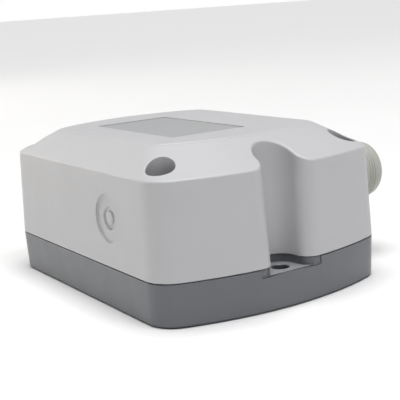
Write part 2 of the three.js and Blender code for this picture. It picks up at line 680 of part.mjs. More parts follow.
function terminalBlock() {
  const { x0, x1, y0, poles, pitch, height } = BLOCK;
  const top = BLOCK_Z + height;
  let body = box(x0, x1, y0, y0 + poles * pitch + 1, BLOCK_Z, top);
  for (let pole = 0; pole < poles; pole += 1) {
    const y = poleY(pole);
    const well = rod(1.95, top - 4.5, top + 1, x0 + BLOCK.screwIn, y, 16);
    const entry = box(x1 - 7, x1 + 1, y - 1.7, y + 1.7, BLOCK_Z + 2, BLOCK_Z + 5.4);
    body = cut(body, well, entry);
  }
  const slope = polygon([[x0 + 7.4, top + 1], [x1 + 1, top + 1], [x1 + 1, top - 3.6]]);
  const options = { depth: 40, bevelEnabled: false };
  const wedge = new THREE.ExtrudeGeometry(new THREE.Shape(slope), options);
  wedge.rotateX(Math.PI / 2);
  wedge.translate(0, y0 + 30, 0);
  return body.subtract(solid(wedge));
}

function terminalScrew() {
  const body = rod(1.65, -3.4, 0, 0, 0, 16);
  return body.subtract(box(-2, 2, -0.3, 0.3, -0.9, 1));
}

function capacitor() {
  return prism(roundedRectangle(5, 12, -32, -14, 1.2, 3), BLOCK_Z, BLOCK_Z + 12);
}

function boardConnector() {
  const low = BLOCK_Z;
  const shell = box(13.6, 17.6, -30, -20, low, low + 6);
  return shell.subtract(box(14.4, 16.8, -29.2, -20.8, low + 1.4, low + 7));
}

function boardSpacer() {
  const bottom = PLATE_Z + PLATE_T + GAP;
  const body = prism(hexagon(4.6), bottom, BOARD.z - GAP);
  return body.subtract(rod(1.4, bottom - 1, BOARD.z + 1, 0, 0, 12));
}

// An insulated wire along a smooth curve through the points.
function lead(points) {
  const curve = new THREE.CatmullRomCurve3(points.map((p) => new THREE.Vector3(...p)));
  const section = new THREE.Shape();
  section.absarc(0, 0, WIRE_R, 0, 2 * Math.PI, false);
  const options = { steps: 14, curveSegments: 3, extrudePath: curve };
  return solid(new THREE.ExtrudeGeometry(section, options));
}

// ---------------------------------------------------------------- cable gland, along its own Z
const HEX_AF = 21;
const BORE_R = 4.9;

function glandWasher() {
  return ring(8.25, 11, 0.35, 1.6, 24);
}

function glandBody() {
  const flange = prism(hexagon(HEX_AF), 1.9, 6.4);
  const thread = rod(7.9, -11, 2.5, 0, 0, 24);
  const collar = rod(8.4, 6, 15, 0, 0, 24);
  const body = joined(flange, thread, collar);
  return cut(body, rod(BORE_R, -12, 16, 0, 0, 20), rod(7, 9.5, 16, 0, 0, 24));
}

function glandLocknut() {
  const inside = -COVER_WALL - GAP - 0.1;
  const bore = rod(8.2, inside - 6, inside + 1, 0, 0, 32);
  return prism(hexagon(HEX_AF), inside - 4.6, inside).subtract(bore);
}

function glandSeal() {
  return turned([[4.4, 9.9], [6.6, 9.9], [6.6, 16.2], [5.6, 19.6], [4.4, 19.6], [4.4, 9.9]], 20);
}

function glandDomeNut() {
  const grip = prism(hexagon(HEX_AF + 0.6), 6.9, 15.4);
  const easing = turned([[0, 6.9], [11.9, 6.9], [11.9, 12.5], [10.8, 15.4], [0, 15.4]], 24);
  const dome = turned([[0, 6.9], [10.8, 6.9], [10.8, 20.4], [9.9, 22.6], [8.1, 24], [5.9, 24.4],
    [0, 24.4]], 32);
  const inside = turned([[0, 6], [8.9, 6], [8.9, 15.6], [7.1, 17], [6.1, 20.2], [5.4, 20.2],
    [5.4, 26], [0, 26]], 20);
  return cut(grip.intersect(easing).add(dome), inside);
}

// ---------------------------------------------------------------- assembly
const actuator = new THREE.Group();

function place(name, body, finish, parent = actuator, position = [0, 0, 0]) {
  const mesh = new THREE.Mesh(surface(body), finish);
  mesh.name = name;
  mesh.position.set(...position);
  parent.add(mesh);
  return mesh;
}

function station(x, y, z = 0) {
  const group = new THREE.Group();
  group.position.set(x, y, z);
  actuator.add(group);
  return group;
}

place('base_housing', baseHousing(), BASE_PLASTIC);
place('cover_gasket', coverGasket(), RUBBER);
place('cover', coverShell(), COVER_PLASTIC);
place('label_panel', labelPanel(), LABEL_FILM);

coverScrewPlaces().forEach(([x, y], i) => {
  const body = screw(...COVER_SCREW_SIZES);
  place(`cover_screw_${i + 1}`, body, STEEL, actuator, [x, y, COVER_SCREW.shelf + GAP]);
});

place('gear_plate', gearPlate(), STEEL);
PLATE_PILLARS.forEach(([x, y], i) => {
  const seat = PLATE_Z + PLATE_T + 0.2;
  place(`plate_screw_${i + 1}`, screw(...PLATE_SCREW_SIZES), STEEL, actuator, [x, y, seat]);
});

const outputStack = station(OUTPUT.x, OUTPUT.y);
const LOBE_NOW = 0; // faces its switch at the closed end of the travel
const LOBE_LATER = -Math.PI / 2; // faces its switch after a quarter turn
place('output_bush', outputBush(), BRASS, outputStack);
place('plate_bush', plateBush(), BRASS, outputStack);
place('output_shaft', outputShaft(), STEEL, outputStack);
place('output_gear', outputGear(), ACETAL, outputStack);
place('shaft_oring', shaftRing(), RUBBER, outputStack);
place('lower_cam', cam(LOBE_NOW, 20.2, 24.4, 26.4), CAM_RED, outputStack);
place('upper_cam', cam(LOBE_LATER, 26.7, 30.2, 30.9), CAM_BLUE, outputStack);
place('cam_washer', ring(1.6, 6, SHAFT_TOP + 0.3, SHAFT_TOP + 1.1, 24), STEEL, outputStack);
place('cam_screw', screw(...CAM_SCREW_SIZES), STEEL, outputStack, [0, 0, SHAFT_TOP + 1.4]);

const idlerStack = station(IDLER.x, IDLER.y);
place('idler_axle', idlerAxle(), STEEL, idlerStack);
place('idler_gear', idlerGear(), ACETAL, idlerStack);

const motorStack = station(MOTOR.x, MOTOR.y);
place('motor_gearcase', motorGearcase(), ZINC, motorStack);
place('motor_can', motorCan(), STEEL, motorStack);
place('motor_shaft', motorShaft(), STEEL, motorStack);
place('motor_pinion', motorPinion(), BRASS, motorStack);
[-1, 1].forEach((side, i) => {
  const seat = MOTOR_FOOT + 1.7;
  const body = screw(...MOTOR_SCREW_SIZES);
  place(`motor_screw_${i + 1}`, body, STEEL, motorStack, [0, side * MOTOR_EAR, seat]);
});

['lower', 'upper'].forEach((level, i) => {
  const z = SWITCH_Z[i];
  place(`${level}_switch`, switchBody(z), SWITCH_BLACK);
  place(`${level}_switch_lever`, switchLever(z), STEEL);
  place(`${level}_switch_plunger`, switchPlunger(z), CAM_RED);
});
SWITCH_SCREWS.forEach(([x, y], i) => {
  const seat = SWITCH_Z[1] + SWITCH.thickness + GAP;
  place(`switch_screw_${i + 1}`, screw(...SWITCH_SCREW_SIZES), STEEL, actuator, [x, y, seat]);
});

place('circuit_board', circuitBoard(), BOARD_GREEN);
place('board_spacer', boardSpacer(), BRASS, actuator, [...BOARD_SPACER, 0]);
[...BOARD_PILLARS, BOARD_SPACER].forEach(([x, y], i) => {
  const seat = BOARD.z + BOARD.t + 0.2;
  const body = screw(...BOARD_SCREW_SIZES, BOARD_SCREW_LENGTHS[i], BOARD_SCREW_CROSS);
  place(`board_screw_${i + 1}`, body, STEEL, actuator, [x, y, seat]);
});
place('terminal_block', terminalBlock(), BLOCK_GREEN);
for (let pole = 0; pole < BLOCK.poles; pole += 1) {
  const top = BLOCK_Z + BLOCK.height - 0.8;
  const spot = [BLOCK.x0 + BLOCK.screwIn, poleY(pole), top];
  place(`terminal_screw_${pole + 1}`, terminalScrew(), STEEL, actuator, spot);
}
place('capacitor', capacitor(), CAPACITOR_BLUE);
place('board_connector', boardConnector(), ACETAL);

const leadFoot = BLOCK_Z + 1.8;
place('motor_lead_1', lead([[0, -8, 32], [3, -8.6, 32.2], [9, -13, 37.5], [14.2, -21, 36],
  [15.6, -23, 30], [15.6, -23.2, leadFoot]]), WIRE_BLUE);
place('motor_lead_2', lead([[0, -5, 32], [3.4, -5.2, 32.4], [10.5, -9.5, 38.4], [15.2, -20, 38.6],
  [15.6, -26.4, 33], [15.6, -26.8, leadFoot]]), WIRE_BROWN);
place('switch_lead_1', lead([[25, 14, 22.2], [27.2, 13.4, 22.4], [28.6, 8, 23.4], [27, -1, 25],
  [23.4, -8.4, 25.6], [22.6, -10, BLOCK_Z]]), WIRE_BLACK);
place('switch_lead_2', lead([[25, 14, 28.8], [27.6, 13.4, 28.8], [30.2, 6, 28.4], [26, -4, 28.2],
  [20.4, -8.6, 26.6], [19.4, -10, BLOCK_Z]]), WIRE_BROWN);

const gland = station(WALL_X, ENTRY.y, ENTRY.z);
gland.rotation.y = Math.PI / 2;
place('gland_washer', glandWasher(), RUBBER, gland);
place('gland_body', glandBody(), GLAND_PLASTIC, gland);
place('gland_locknut', glandLocknut(), GLAND_PLASTIC, gland);
place('gland_seal', glandSeal(), RUBBER, gland);
place('gland_dome_nut', glandDomeNut(), GLAND_PLASTIC, gland);

export default actuator;
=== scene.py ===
"""The looks of a motorised actuator head: a light grey cover and a dark grey base with a cable
gland, and the geared motor, limit switches and wiring board that they enclose.
Shapes are worked out in millimetres in the part's own frame and turned into metres at the end."""
import json
import math
from functools import partial

import bmesh
import bpy
import numpy as np
from mathutils import Matrix, Vector, kdtree
from mathutils.bvhtree import BVHTree
from mathutils.geometry import delaunay_2d_cdt


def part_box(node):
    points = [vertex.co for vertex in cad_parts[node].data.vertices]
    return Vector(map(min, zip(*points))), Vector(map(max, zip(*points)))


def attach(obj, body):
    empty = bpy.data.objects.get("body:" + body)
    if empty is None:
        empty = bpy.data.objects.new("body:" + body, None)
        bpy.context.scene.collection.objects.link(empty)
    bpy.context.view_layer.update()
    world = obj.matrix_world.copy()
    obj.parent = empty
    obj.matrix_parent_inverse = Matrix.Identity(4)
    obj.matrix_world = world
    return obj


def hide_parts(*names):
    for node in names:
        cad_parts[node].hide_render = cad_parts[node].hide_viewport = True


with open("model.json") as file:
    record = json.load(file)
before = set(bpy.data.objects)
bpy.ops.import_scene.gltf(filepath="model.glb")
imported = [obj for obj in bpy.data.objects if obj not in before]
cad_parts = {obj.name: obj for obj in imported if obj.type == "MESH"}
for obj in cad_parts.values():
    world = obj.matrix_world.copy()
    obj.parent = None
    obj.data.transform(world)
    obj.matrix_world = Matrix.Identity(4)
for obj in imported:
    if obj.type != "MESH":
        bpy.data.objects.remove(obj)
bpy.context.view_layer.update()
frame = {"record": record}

MM = 0.001
RECORD = frame["record"]
BODY_OF = {n: body for body, nodes in RECORD["behaviour"]["bodies"].items() for n in nodes}
SLOT_OF = {part["node"]: part["material_slot"] for part in RECORD["subparts"]}
PIECES = {}  # what makes each CAD node's finished piece


def piece(shape):
    """Marks a function that makes the piece for the CAD node of the same name."""
    PIECES[shape.__name__] = shape
    return shape


def span(node):
    """Lowest and highest corner of a CAD node, in millimetres."""
    low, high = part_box(node)
    return low / MM, high / MM


def middle(node):
    """The middle of a CAD node in plan."""
    low, high = span(node)
    return ((low + high) / 2).xy


def middles(family, count):
    return [middle(f"{family}_{i + 1}") for i in range(count)]


def heights(node):
    low, high = span(node)
    return low.z, high.z


def into_scene(name, data):
    obj = bpy.data.objects.new(name, data)
    bpy.context.scene.collection.objects.link(obj)
    return obj


# ---------------------------------------------------------------- camera
CAMERA_AZIMUTH = math.radians(-32.09)
CAMERA_ELEVATION = math.radians(11.67)
CAMERA_ROLL = math.radians(-3.92)
CAMERA_DISTANCE = 0.35434
CAMERA_RIGHT = 0.00354  # how far the view is moved off the origin, along its own axes
CAMERA_UP = 0.02547


def make_camera():
    data = bpy.data.cameras.new("camera")
    data.sensor_width = 36
    data.lens = 84.66
    data.clip_start = 0.01
    azimuth, elevation = CAMERA_AZIMUTH, CAMERA_ELEVATION
    back = Vector((math.sin(azimuth) * math.cos(elevation),
                   -math.cos(azimuth) * math.cos(elevation), math.sin(elevation)))
    level = Vector((math.cos(azimuth), math.sin(azimuth), 0))
    upright = back.cross(level)
    right = level * math.cos(CAMERA_ROLL) + upright * math.sin(CAMERA_ROLL)
    up = upright * math.cos(CAMERA_ROLL) - level * math.sin(CAMERA_ROLL)
    place = back * CAMERA_DISTANCE + right * CAMERA_RIGHT + up * CAMERA_UP
    camera = into_scene("camera", data)
    camera.matrix_world = Matrix.Translation(place) @ Matrix((right, up, back)).transposed().to_4x4()
    bpy.context.scene.camera = camera


make_camera()

# ---------------------------------------------------------------- sizes shared with the CAD
SEAM_TOP = span("cover")[0].z
LAND_Z = span("cover")[1].z
JOINT_Z = 14.3
BASE_TOP = 2 * JOINT_Z - SEAM_TOP
WIDTH = 90
LENGTH = 107.7
END_BOW = 9.24
CORNER_R = 10.5
DRAFT = math.tan(math.radians(1.75))
SHOULDER_Z = 45.75
LAND_HEIGHT = 0.35
TOP_Z = LAND_Z - LAND_HEIGHT
TOP_CORNER_R = 7.8
SHOULDER_SIDE = 10.7
SHOULDER_END = 16.1
LAND_INSET = 1.3
COVER_WALL = 2.6
BASE_WALL = 3.2
FLOOR = 3
CHANNEL_CENTRE = 56
CHANNEL_HALF = 5.9
CHANNEL_FLARE = 5.2
PAD_Z = 11.65
POCKET_SET_BACK = 0.4  # how far the wall over a fixing pad stands behind the cover's
FIXING_HOLE_R = 2.9
SCREW_X, SCREW_Y = 36.35, 46.4
SCREW_PLACES = [(x, y) for y in (-SCREW_Y, SCREW_Y) for x in (-SCREW_X, SCREW_X)]
SCREW_SHELF = 22
COUNTERBORE_R = 4.63
BOSS_R = 6.4
ENTRY_Y, ENTRY_Z = -23.3, 30.6
WALL_X = WIDTH / 2 - DRAFT * (ENTRY_Z - JOINT_Z)
LABEL_DEPTH = 0.9


# ---------------------------------------------------------------- outlines and paths
def offset(outline, distance):
    """The closed outline moved inwards by a distance, with mitred corners."""
    points = np.asarray(outline, float)
    after = np.roll(points, -1, axis=0) - points
    after /= np.linalg.norm(after, axis=1)[:, None]
    normal = np.stack([after[:, 1], -after[:, 0]], axis=1)
    before = np.roll(normal, 1, axis=0)
    spread = 1 + (normal * before).sum(axis=1)
    return points - (normal + before) / np.maximum(spread, 0.3)[:, None] * distance


def angles(count):
    return [2 * math.pi * i / count for i in range(count)]


def polar(radius, angle):
    return radius * math.cos(angle), radius * math.sin(angle)


def arc(cx, cy, radius, start, end, steps):
    """Points on an arc, both ends included, with angles in radians."""
    turns = np.linspace(start, end, steps + 1)
    return np.stack([cx + radius * np.cos(turns), cy + radius * np.sin(turns)], axis=1)


def eased(corners, steps=4, closed=True):
    """A path through corners (x, y, radius), with each corner rounded to its radius."""
    out = []
    count = len(corners)
    for i, corner in enumerate(corners):
        here = Vector(corner[:2])
        radius = corner[2] if len(corner) > 2 else 0
        if radius <= 0 or (not closed and i in (0, count - 1)):
            out.append(tuple(here))
            continue
        back = (Vector(corners[i - 1][:2]) - here).normalized()
        ahead = (Vector(corners[(i + 1) % count][:2]) - here).normalized()
        half = back.angle(ahead) / 2
        reach = radius / math.tan(half)
        centre = here + (back + ahead).normalized() * (radius / math.sin(half))
        first, last = back * reach + here - centre, ahead * reach + here - centre
        start = math.atan2(first.y, first.x)
        turn = (math.atan2(last.y, last.x) - start + math.pi) % (2 * math.pi) - math.pi
        out += [tuple(p) for p in arc(*centre, radius, start, start + turn, steps)]
    return out


def rectangle(x0, x1, y0, y1, radius=0.5, steps=4):
    return eased([(x0, y0, radius), (x1, y0, radius), (x1, y1, radius), (x0, y1, radius)], steps)


def hexagon(across_flats, radius=0.6):
    return eased([(*polar(across_flats / math.sqrt(3), a), radius) for a in angles(6)])


def level(outline, z):
    return [(x, y, z) for x, y in outline]


# ---------------------------------------------------------------- meshes
def build(name, verts, faces):
    """A mesh object from millimetres, with its faces pointing out."""
    mesh = bpy.data.meshes.new(name)
    mesh.from_pydata([(x * MM, y * MM, z * MM) for x, y, z in verts], [], faces)
    shape = bmesh.new()
    shape.from_mesh(mesh)
    bmesh.ops.recalc_face_normals(shape, faces=shape.faces)
    if shape.calc_volume(signed=True) < 0:
        bmesh.ops.reverse_faces(shape, faces=shape.faces)
    shape.to_mesh(mesh)
    shape.free()
    return into_scene(name, mesh)


def quads(low, high):
    """The faces between two closed rows of vertex numbers."""
    size = len(low)
    return [(low[i], low[(i + 1) % size], high[(i + 1) % size], high[i]) for i in range(size)]


def stacked(name, rings, closed=False):
    """A solid through rings of points, capped at both ends, or joined end to start if closed."""
    size = len(rings[0])
    rows = [range(start, start + size) for start in range(0, size * len(rings), size)]
    faces = [face for low, high in zip(rows, rows[1:]) for face in quads(low, high)]
    faces += quads(rows[-1], rows[0]) if closed else [tuple(rows[0]), tuple(rows[-1])]
    return build(name, [point for ring in rings for point in ring], faces)


def rounded(name, outline_at, z0, z1, low_edge, high_edge, steps=4):
    """An upright solid with rounded top and bottom edges. outline_at gives its outline at a
    height and an inset."""
    rings = []
    for z, edge, up in ((z0, low_edge, 1), (z1, -high_edge, -1)):
        turns = [math.pi / 2 * i / steps for i in range(steps + 1 if edge else 1)]
        for turn in turns[::up]:
            height = z + edge * (1 - math.cos(turn))
            rings.append(level(outline_at(height, abs(edge) * (1 - math.sin(turn))), height))
    return stacked(name, rings)


def prism(name, outline, z0, z1, edge=0.15, steps=3):
    return rounded(name, lambda z, inset: offset(outline, inset), z0, z1, edge, edge, steps)


def block(name, x0, x1, y0, y1, z0, z1, corner=0.4, edge=0.2):
    return prism(name, rectangle(x0, x1, y0, y1, corner), z0, z1, edge)


def filled(name, node, corner, edge):
    """A block that fills a CAD node's box."""
    low, high = span(node)
    return block(name, low.x, high.x, low.y, high.y, low.z, high.z, corner, edge)


def lathe(name, profile, steps=64, x=0, y=0):
    """A turned solid about Z. A profile that leaves the axis closes on itself."""
    verts, rings, faces = [], [], []
    for radius, z in profile:
        start = len(verts)
        if radius < 1e-6:
            rings.append([start] * steps)
            verts.append((x, y, z))
        else:
            rings.append(range(start, start + steps))
            verts += [(x + radius * math.cos(a), y + radius * math.sin(a), z) for a in angles(steps)]
    on_axis = profile[0][0] < 1e-6 and profile[-1][0] < 1e-6
    for low, high in zip(rings, rings[1:] + ([] if on_axis else rings[:1])):
        faces += [tuple(dict.fromkeys(face)) for face in quads(low, high)]
    return build(name, verts, [f for f in faces if len(f) > 2])


def turned(name, corners, steps=64, ease=4, x=0, y=0):
    """A turned solid from a section with rounded corners. It is closed if it leaves the axis."""
    return lathe(name, eased(corners, ease, corners[0][0] > 0), steps, x, y)


def drum(name, radius, z0, z1, x=0, y=0, edge=0.0, steps=48):
    """A round bar with eased ends."""
    return turned(name, [(0, z0), (radius, z0, edge), (radius, z1, edge), (0, z1)], steps, 3, x, y)


def drums(places, radius, z0, z1, edge=0.0, steps=48):
    return [drum("drum", radius, z0, z1, x, y, edge, steps) for x, y in places]


def hole(radius, z0, z1, x=0, y=0, lip=0.15, steps=32):
    """A cutter for a through hole from z0 to z1 with both rims chamfered."""
    profile = [(0, z0 - 1), (radius + lip + 1, z0 - 1), (radius, z0 + lip), (radius, z1 - lip),
               (radius + lip + 1, z1 + 1), (0, z1 + 1)]
    return lathe("hole", profile, steps, x, y)


def holes(places, radius, z0, z1, lip=0.15, steps=32):
    return [hole(radius, z0, z1, x, y, lip, steps) for x, y in places]


def threaded(name, radius, z0, z1, pitch, x=0, y=0, steps=32, head=()):
    """A screw thread from z0 up to z1 with eased ends, or ending in a head's profile."""
    rows = max(8, int((z1 - z0) / pitch * 6))
    depth = 0.55 * pitch
    sections = []
    for j in range(rows + 1):
        z = z0 + (z1 - z0) * j / rows
        ease = min(1, (z - z0) / (0.8 * pitch) + 0.05, (z1 - z) / (0.8 * pitch) + 0.05)
        waves = [abs(((z / pitch - i / steps) % 1) * 2 - 1) for i in range(steps)]
        sections.append([(radius - depth * (1 - ease * (1 - min(1, wave * 1.25))), z) for wave in waves])
    sections += [[point] * steps for point in head]
    rings = [[(x + r * math.cos(a), y + r * math.sin(a), z) for (r, z), a in zip(section, angles(steps))]
             for section in sections]
    return stacked(name, rings)


def tube(name, points, radius, sides=16, steps=64):
    """A round wire along a smooth curve through the points."""
    control = [Vector(p) for p in points]
    control = [2 * control[0] - control[1], *control, 2 * control[-1] - control[-2]]
    path = []
    spans = len(control) - 3
    for k in range(steps + 1):
        at = min(k * spans / steps, spans - 1e-6)
        i, t = int(at), at - int(at)
        a, b, c, d = control[i:i + 4]
        path.append(0.5 * (2 * b + (c - a) * t + (2 * a - 5 * b + 4 * c - d) * t * t
                           + (3 * b - a - 3 * c + d) * t ** 3))
    rings = []
    side = None
    for k, point in enumerate(path):
        ahead = (path[min(k + 1, steps)] - path[max(k - 1, 0)]).normalized()
        side = ahead.orthogonal() if side is None else side - ahead * side.dot(ahead)
        side.normalize()
        other = ahead.cross(side)
        rings.append([point + (side * math.cos(a) + other * math.sin(a)) * radius for a in angles(sides)])
    return stacked(name, rings)


def gather(name, pieces):
    """Several separate solids as one object."""
    shape = bmesh.new()
    for part in pieces:
        shape.from_mesh(part.data)
        bpy.data.objects.remove(part)
    mesh = bpy.data.meshes.new(name)
    shape.to_mesh(mesh)
    shape.free()
    return into_scene(name, mesh)


def combine(obj, others, operation):
    for other in others:
        step = obj.modifiers.new("join", "BOOLEAN")
        step.operation = operation
        step.solver = "MANIFOLD"
        step.object = other
        made = bpy.data.meshes.new_from_object(obj.evaluated_get(bpy.context.evaluated_depsgraph_get()))
        obj.modifiers.clear()
        obj.data = made
        bpy.data.objects.remove(other)
    return obj


def cut(obj, *cutters):
    return combine(obj, cutters, "DIFFERENCE")


def add(obj, *others):
    return combine(obj, others, "UNION")


def common(obj, *others):
    return combine(obj, others, "INTERSECT")


def shift(obj, x, y, z=0.0, turn=0.0, axis="Z"):
    """Turns a shape about an axis through the origin, then moves it."""
    obj.data.transform(Matrix.Translation(Vector((x, y, z)) * MM) @ Matrix.Rotation(turn, 4, axis))
    return obj


def turn_to_x(obj):
    """Lays a shape made about Z along +X, from the cable entry's place on the wall."""
    return shift(obj, WALL_X, ENTRY_Y, ENTRY_Z, math.pi / 2, "Y")


# ---------------------------------------------------------------- enclosure outlines
SIDE_STEPS, CORNER_STEPS, END_STEPS, FLARE_STEPS, INNER_STEPS = 8, 12, 10, 12, 12


def end_arc(half_width, half_length, radius):
    """Radius and centre height of the bowed end, and the corner's centre and meeting angle."""
    end_r = (half_width ** 2 + END_BOW ** 2) / (2 * END_BOW)
    end_y = half_length + END_BOW - end_r
    corner_x = half_width - radius
    corner_y = end_y + math.sqrt((end_r - radius) ** 2 - corner_x ** 2)
    return end_r, end_y, corner_x, corner_y, math.atan2(corner_y - end_y, corner_x)


def wall_sizes(z, inset):
    slope = DRAFT * abs(z - JOINT_Z)
    return WIDTH / 2 - slope - inset, LENGTH / 2 - slope - inset, CORNER_R - inset


def top_sizes(inset):
    slope = DRAFT * (TOP_Z - JOINT_Z)
    return (WIDTH / 2 - slope - SHOULDER_SIDE - inset, LENGTH / 2 - slope - SHOULDER_END - inset,
            TOP_CORNER_R - inset)


def full_loop(quarter):
    """A quarter outline from the +X axis to the +Y axis, mirrored all the way round."""
    quarter = np.asarray(quarter)
    half = np.concatenate([quarter, quarter[:-1][::-1] * [-1, 1]])
    return np.concatenate([half, -half[1:-1]])


def plain_loop(half_width, half_length, radius):
    """The outline without its fixing channels."""
    end_r, end_y, corner_x, corner_y, meet = end_arc(half_width, half_length, radius)
    side = [(half_width, corner_y * i / SIDE_STEPS) for i in range(SIDE_STEPS)]
    corner = arc(corner_x, corner_y, radius, 0, meet, CORNER_STEPS)
    end = arc(0, end_y, end_r, meet, math.pi / 2, 2 * END_STEPS)
    return full_loop(np.concatenate([side, corner, end[1:]]))


def notched_loop(z, inset, slope=None):
    """The outline with its fixing channels, and each point's outward direction."""
    half_width, half_length, radius = wall_sizes(z, inset)
    end_r, end_y, corner_x, corner_y, meet = end_arc(half_width, half_length, radius)
    slope = DRAFT * abs(z - JOINT_Z) if slope is None else slope
    half = CHANNEL_HALF + inset + slope
    flare = CHANNEL_FLARE - inset
    flare_y = end_y + math.sqrt((end_r - flare) ** 2 - (half + flare) ** 2)
    touch = math.atan2(flare_y - end_y, half + flare)
    side = [(half_width, corner_y * i / SIDE_STEPS) for i in range(SIDE_STEPS)]
    corner = arc(corner_x, corner_y, radius, 0, meet, CORNER_STEPS)
    end = arc(0, end_y, end_r, meet, touch, END_STEPS)[1:]
    lip = arc(half + flare, flare_y, flare, touch, math.pi, FLARE_STEPS)[1:]
    inner = arc(0, CHANNEL_CENTRE, half, 0, -math.pi / 2, INNER_STEPS)
    facing = np.concatenate([np.array(side) * 0 + [1, 0], corner - [corner_x, corner_y],
                             end - [0, end_y], lip - [half + flare, flare_y],
                             [0, CHANNEL_CENTRE] - inner])
    facing /= np.linalg.norm(facing, axis=1)[:, None]
    return full_loop(np.concatenate([side, corner, end, lip, inner])), full_loop(facing)


class Roof:
    """The height of a sloping shoulder and the flat top inside it, at any place in plan."""

    def __init__(self, low, low_z, high, high_z):
        steps = 12
        self.rings = [level(low * (1 - t) + high * t, low_z + (high_z - low_z) * t)
                      for t in (-0.1, *(i / steps for i in range(steps + 1)))]
        size = len(low)
        rows = [range(j * size, (j + 1) * size) for j in range(steps + 2)]
        faces = [tuple(rows[-1])] + [face for pair in zip(rows, rows[1:]) for face in quads(*pair)]
        self.tree = BVHTree.FromPolygons([p for ring in self.rings for p in ring], faces)

    def __call__(self, x, y):
        hit = self.tree.ray_cast(Vector((x, y, 200)), Vector((0, 0, -1)))[0]
        return hit.z if hit else self.rings[0][0][2]


def rim(points, facing, roof, radius, lean, steps=5, support=0.6):
    """Rings that round the edge between a wall and the roof over it, from the wall inwards.
    points and facing give the wall's edge in plan and its outward direction, and lean is
    how far the wall moves inwards for each unit of height."""
    rings = [[] for _ in range(steps + 2)]
    reach = 0.6  # how far inwards the roof's slope is measured
    for (x, y), (nx, ny) in zip(points, facing):
        z = roof(x, y)
        rise = (roof(x - nx * reach, y - ny * reach) - z) / reach
        up = Vector((lean, 1)).normalized()
        over = Vector((1, rise)).normalized()
        turn = math.acos(max(-1, min(1, up.dot(over))))
        side = Vector((up.y, -up.x))
        centre = side * radius - up * (radius * math.tan(turn / 2))
        for k in range(steps + 1):
            angle = turn * k / steps
            at = centre + radius * (up * math.sin(angle) - side * math.cos(angle))
            rings[k].append((x - nx * at.x, y - ny * at.x, z + at.y))
        inner = at.x + support
        sx, sy = x - nx * inner, y - ny * inner
        rings[-1].append((sx, sy, roof(sx, sy)))
    return rings


def inside(points, loop):
    """Which of the points lie in the loop."""
    px, py = points[:, 0], points[:, 1]
    result = np.zeros(len(points), bool)
    for (x0, y0), (x1, y1) in zip(loop, np.roll(loop, -1, axis=0)):
        if y0 != y1:
            result ^= ((y0 > py) != (y1 > py)) & (px < (x1 - x0) * (py - y0) / (y1 - y0) + x0)
    return result


def hall(name, bottom_z, inset, roof, edge, wells, loops, spots):
    """A solid with drafted walls, fixing channels and the roof given. wells are round holes
    (x, y, radius, bottom), loops are closed lines of points on the roof, and spots single ones."""
    verts, faces, marks = [], [], []

    def ring(points):
        start = len(verts)
        verts.extend(tuple(p) for p in points)
        return range(start, len(verts))

    def skin(rows):
        """Joins rows of points. The first is closed, and the last becomes a border of the roof."""
        rows = [ring(row) for row in rows]
        for low, high in zip(rows, rows[1:]):
            faces.extend(quads(low, high))
        faces.append(tuple(rows[0]))
        marks.append(rows[-1])

    def on_roof(points):
        result = inside(points, borders[0])
        for border in borders[1:]:
            result &= ~inside(points, border)
        return result

    low_xy, _ = notched_loop(bottom_z, inset)
    edge_z = [SHOULDER_Z] * len(low_xy)
    for _ in range(3):  # the wall leans, so its top edge is found by trying again
        edge_z = [round(z, 3) for z in edge_z]
        found = {z: notched_loop(z, inset) for z in set(edge_z)}
        points, facing = (np.array([found[z][k][i] for i, z in enumerate(edge_z)]) for k in (0, 1))
        edge_z = [roof(x, y) for x, y in points]
    rings = rim(points, facing, roof, edge, DRAFT)
    foot, head = np.array(level(low_xy, bottom_z)), np.array(rings[0])
    skin([foot + (head - foot) * share for share in (0, 0.006, 0.25, 0.5, 0.75, 0.985)] + rings)
    for x, y, radius, bottom in wells:
        circle = arc(x, y, radius, 0, 2 * math.pi, 48)[:-1]
        lip = rim(circle, ([x, y] - circle) / radius, roof, 0.35, 0, 4, 0.45)
        skin([level(circle, bottom), level(circle, bottom + 0.3), *lip])
    borders = [np.array([verts[i][:2] for i in mark]) for mark in marks]
    marks += [ring(loop) for loop in loops]
    ids = [i for mark in marks for i in mark]
    near = kdtree.KDTree(len(ids))
    for i in ids:
        near.insert((*verts[i][:2], 0), i)
    near.balance()
    spots = np.array(spots)
    ids += ring([spot for spot, free in zip(spots, on_roof(spots))
                 if free and near.find((*spot[:2], 0))[2] > 0.7])
    edges = []
    for mark in marks:
        start, count = len(edges), len(mark)
        edges += [(start + i, start + (i + 1) % count) for i in range(count)]
    flat = [Vector(verts[i][:2]) for i in ids]
    made, _, triangles, source, _, _ = delaunay_2d_cdt(flat, edges, [], 0, 1e-7)
    known = [ids[origin[0]] if origin else None for origin in source]
    centres = np.array([np.mean([made[i] for i in tri], axis=0) for tri in triangles])
    for tri, kept in zip(triangles, on_roof(centres)):
        corners = tuple(known[i] for i in tri)
        if kept and None not in corners:
            faces.append(corners)
    return build(name, verts, faces)


# ---------------------------------------------------------------- cover
LABEL_LOW, LABEL_HIGH = span("label_panel")
LABEL_GAP = 0.15


def seated(outline, distance, z):
    """A closed line at one height, an outline's distance inwards."""
    return level(offset(outline, distance), z)


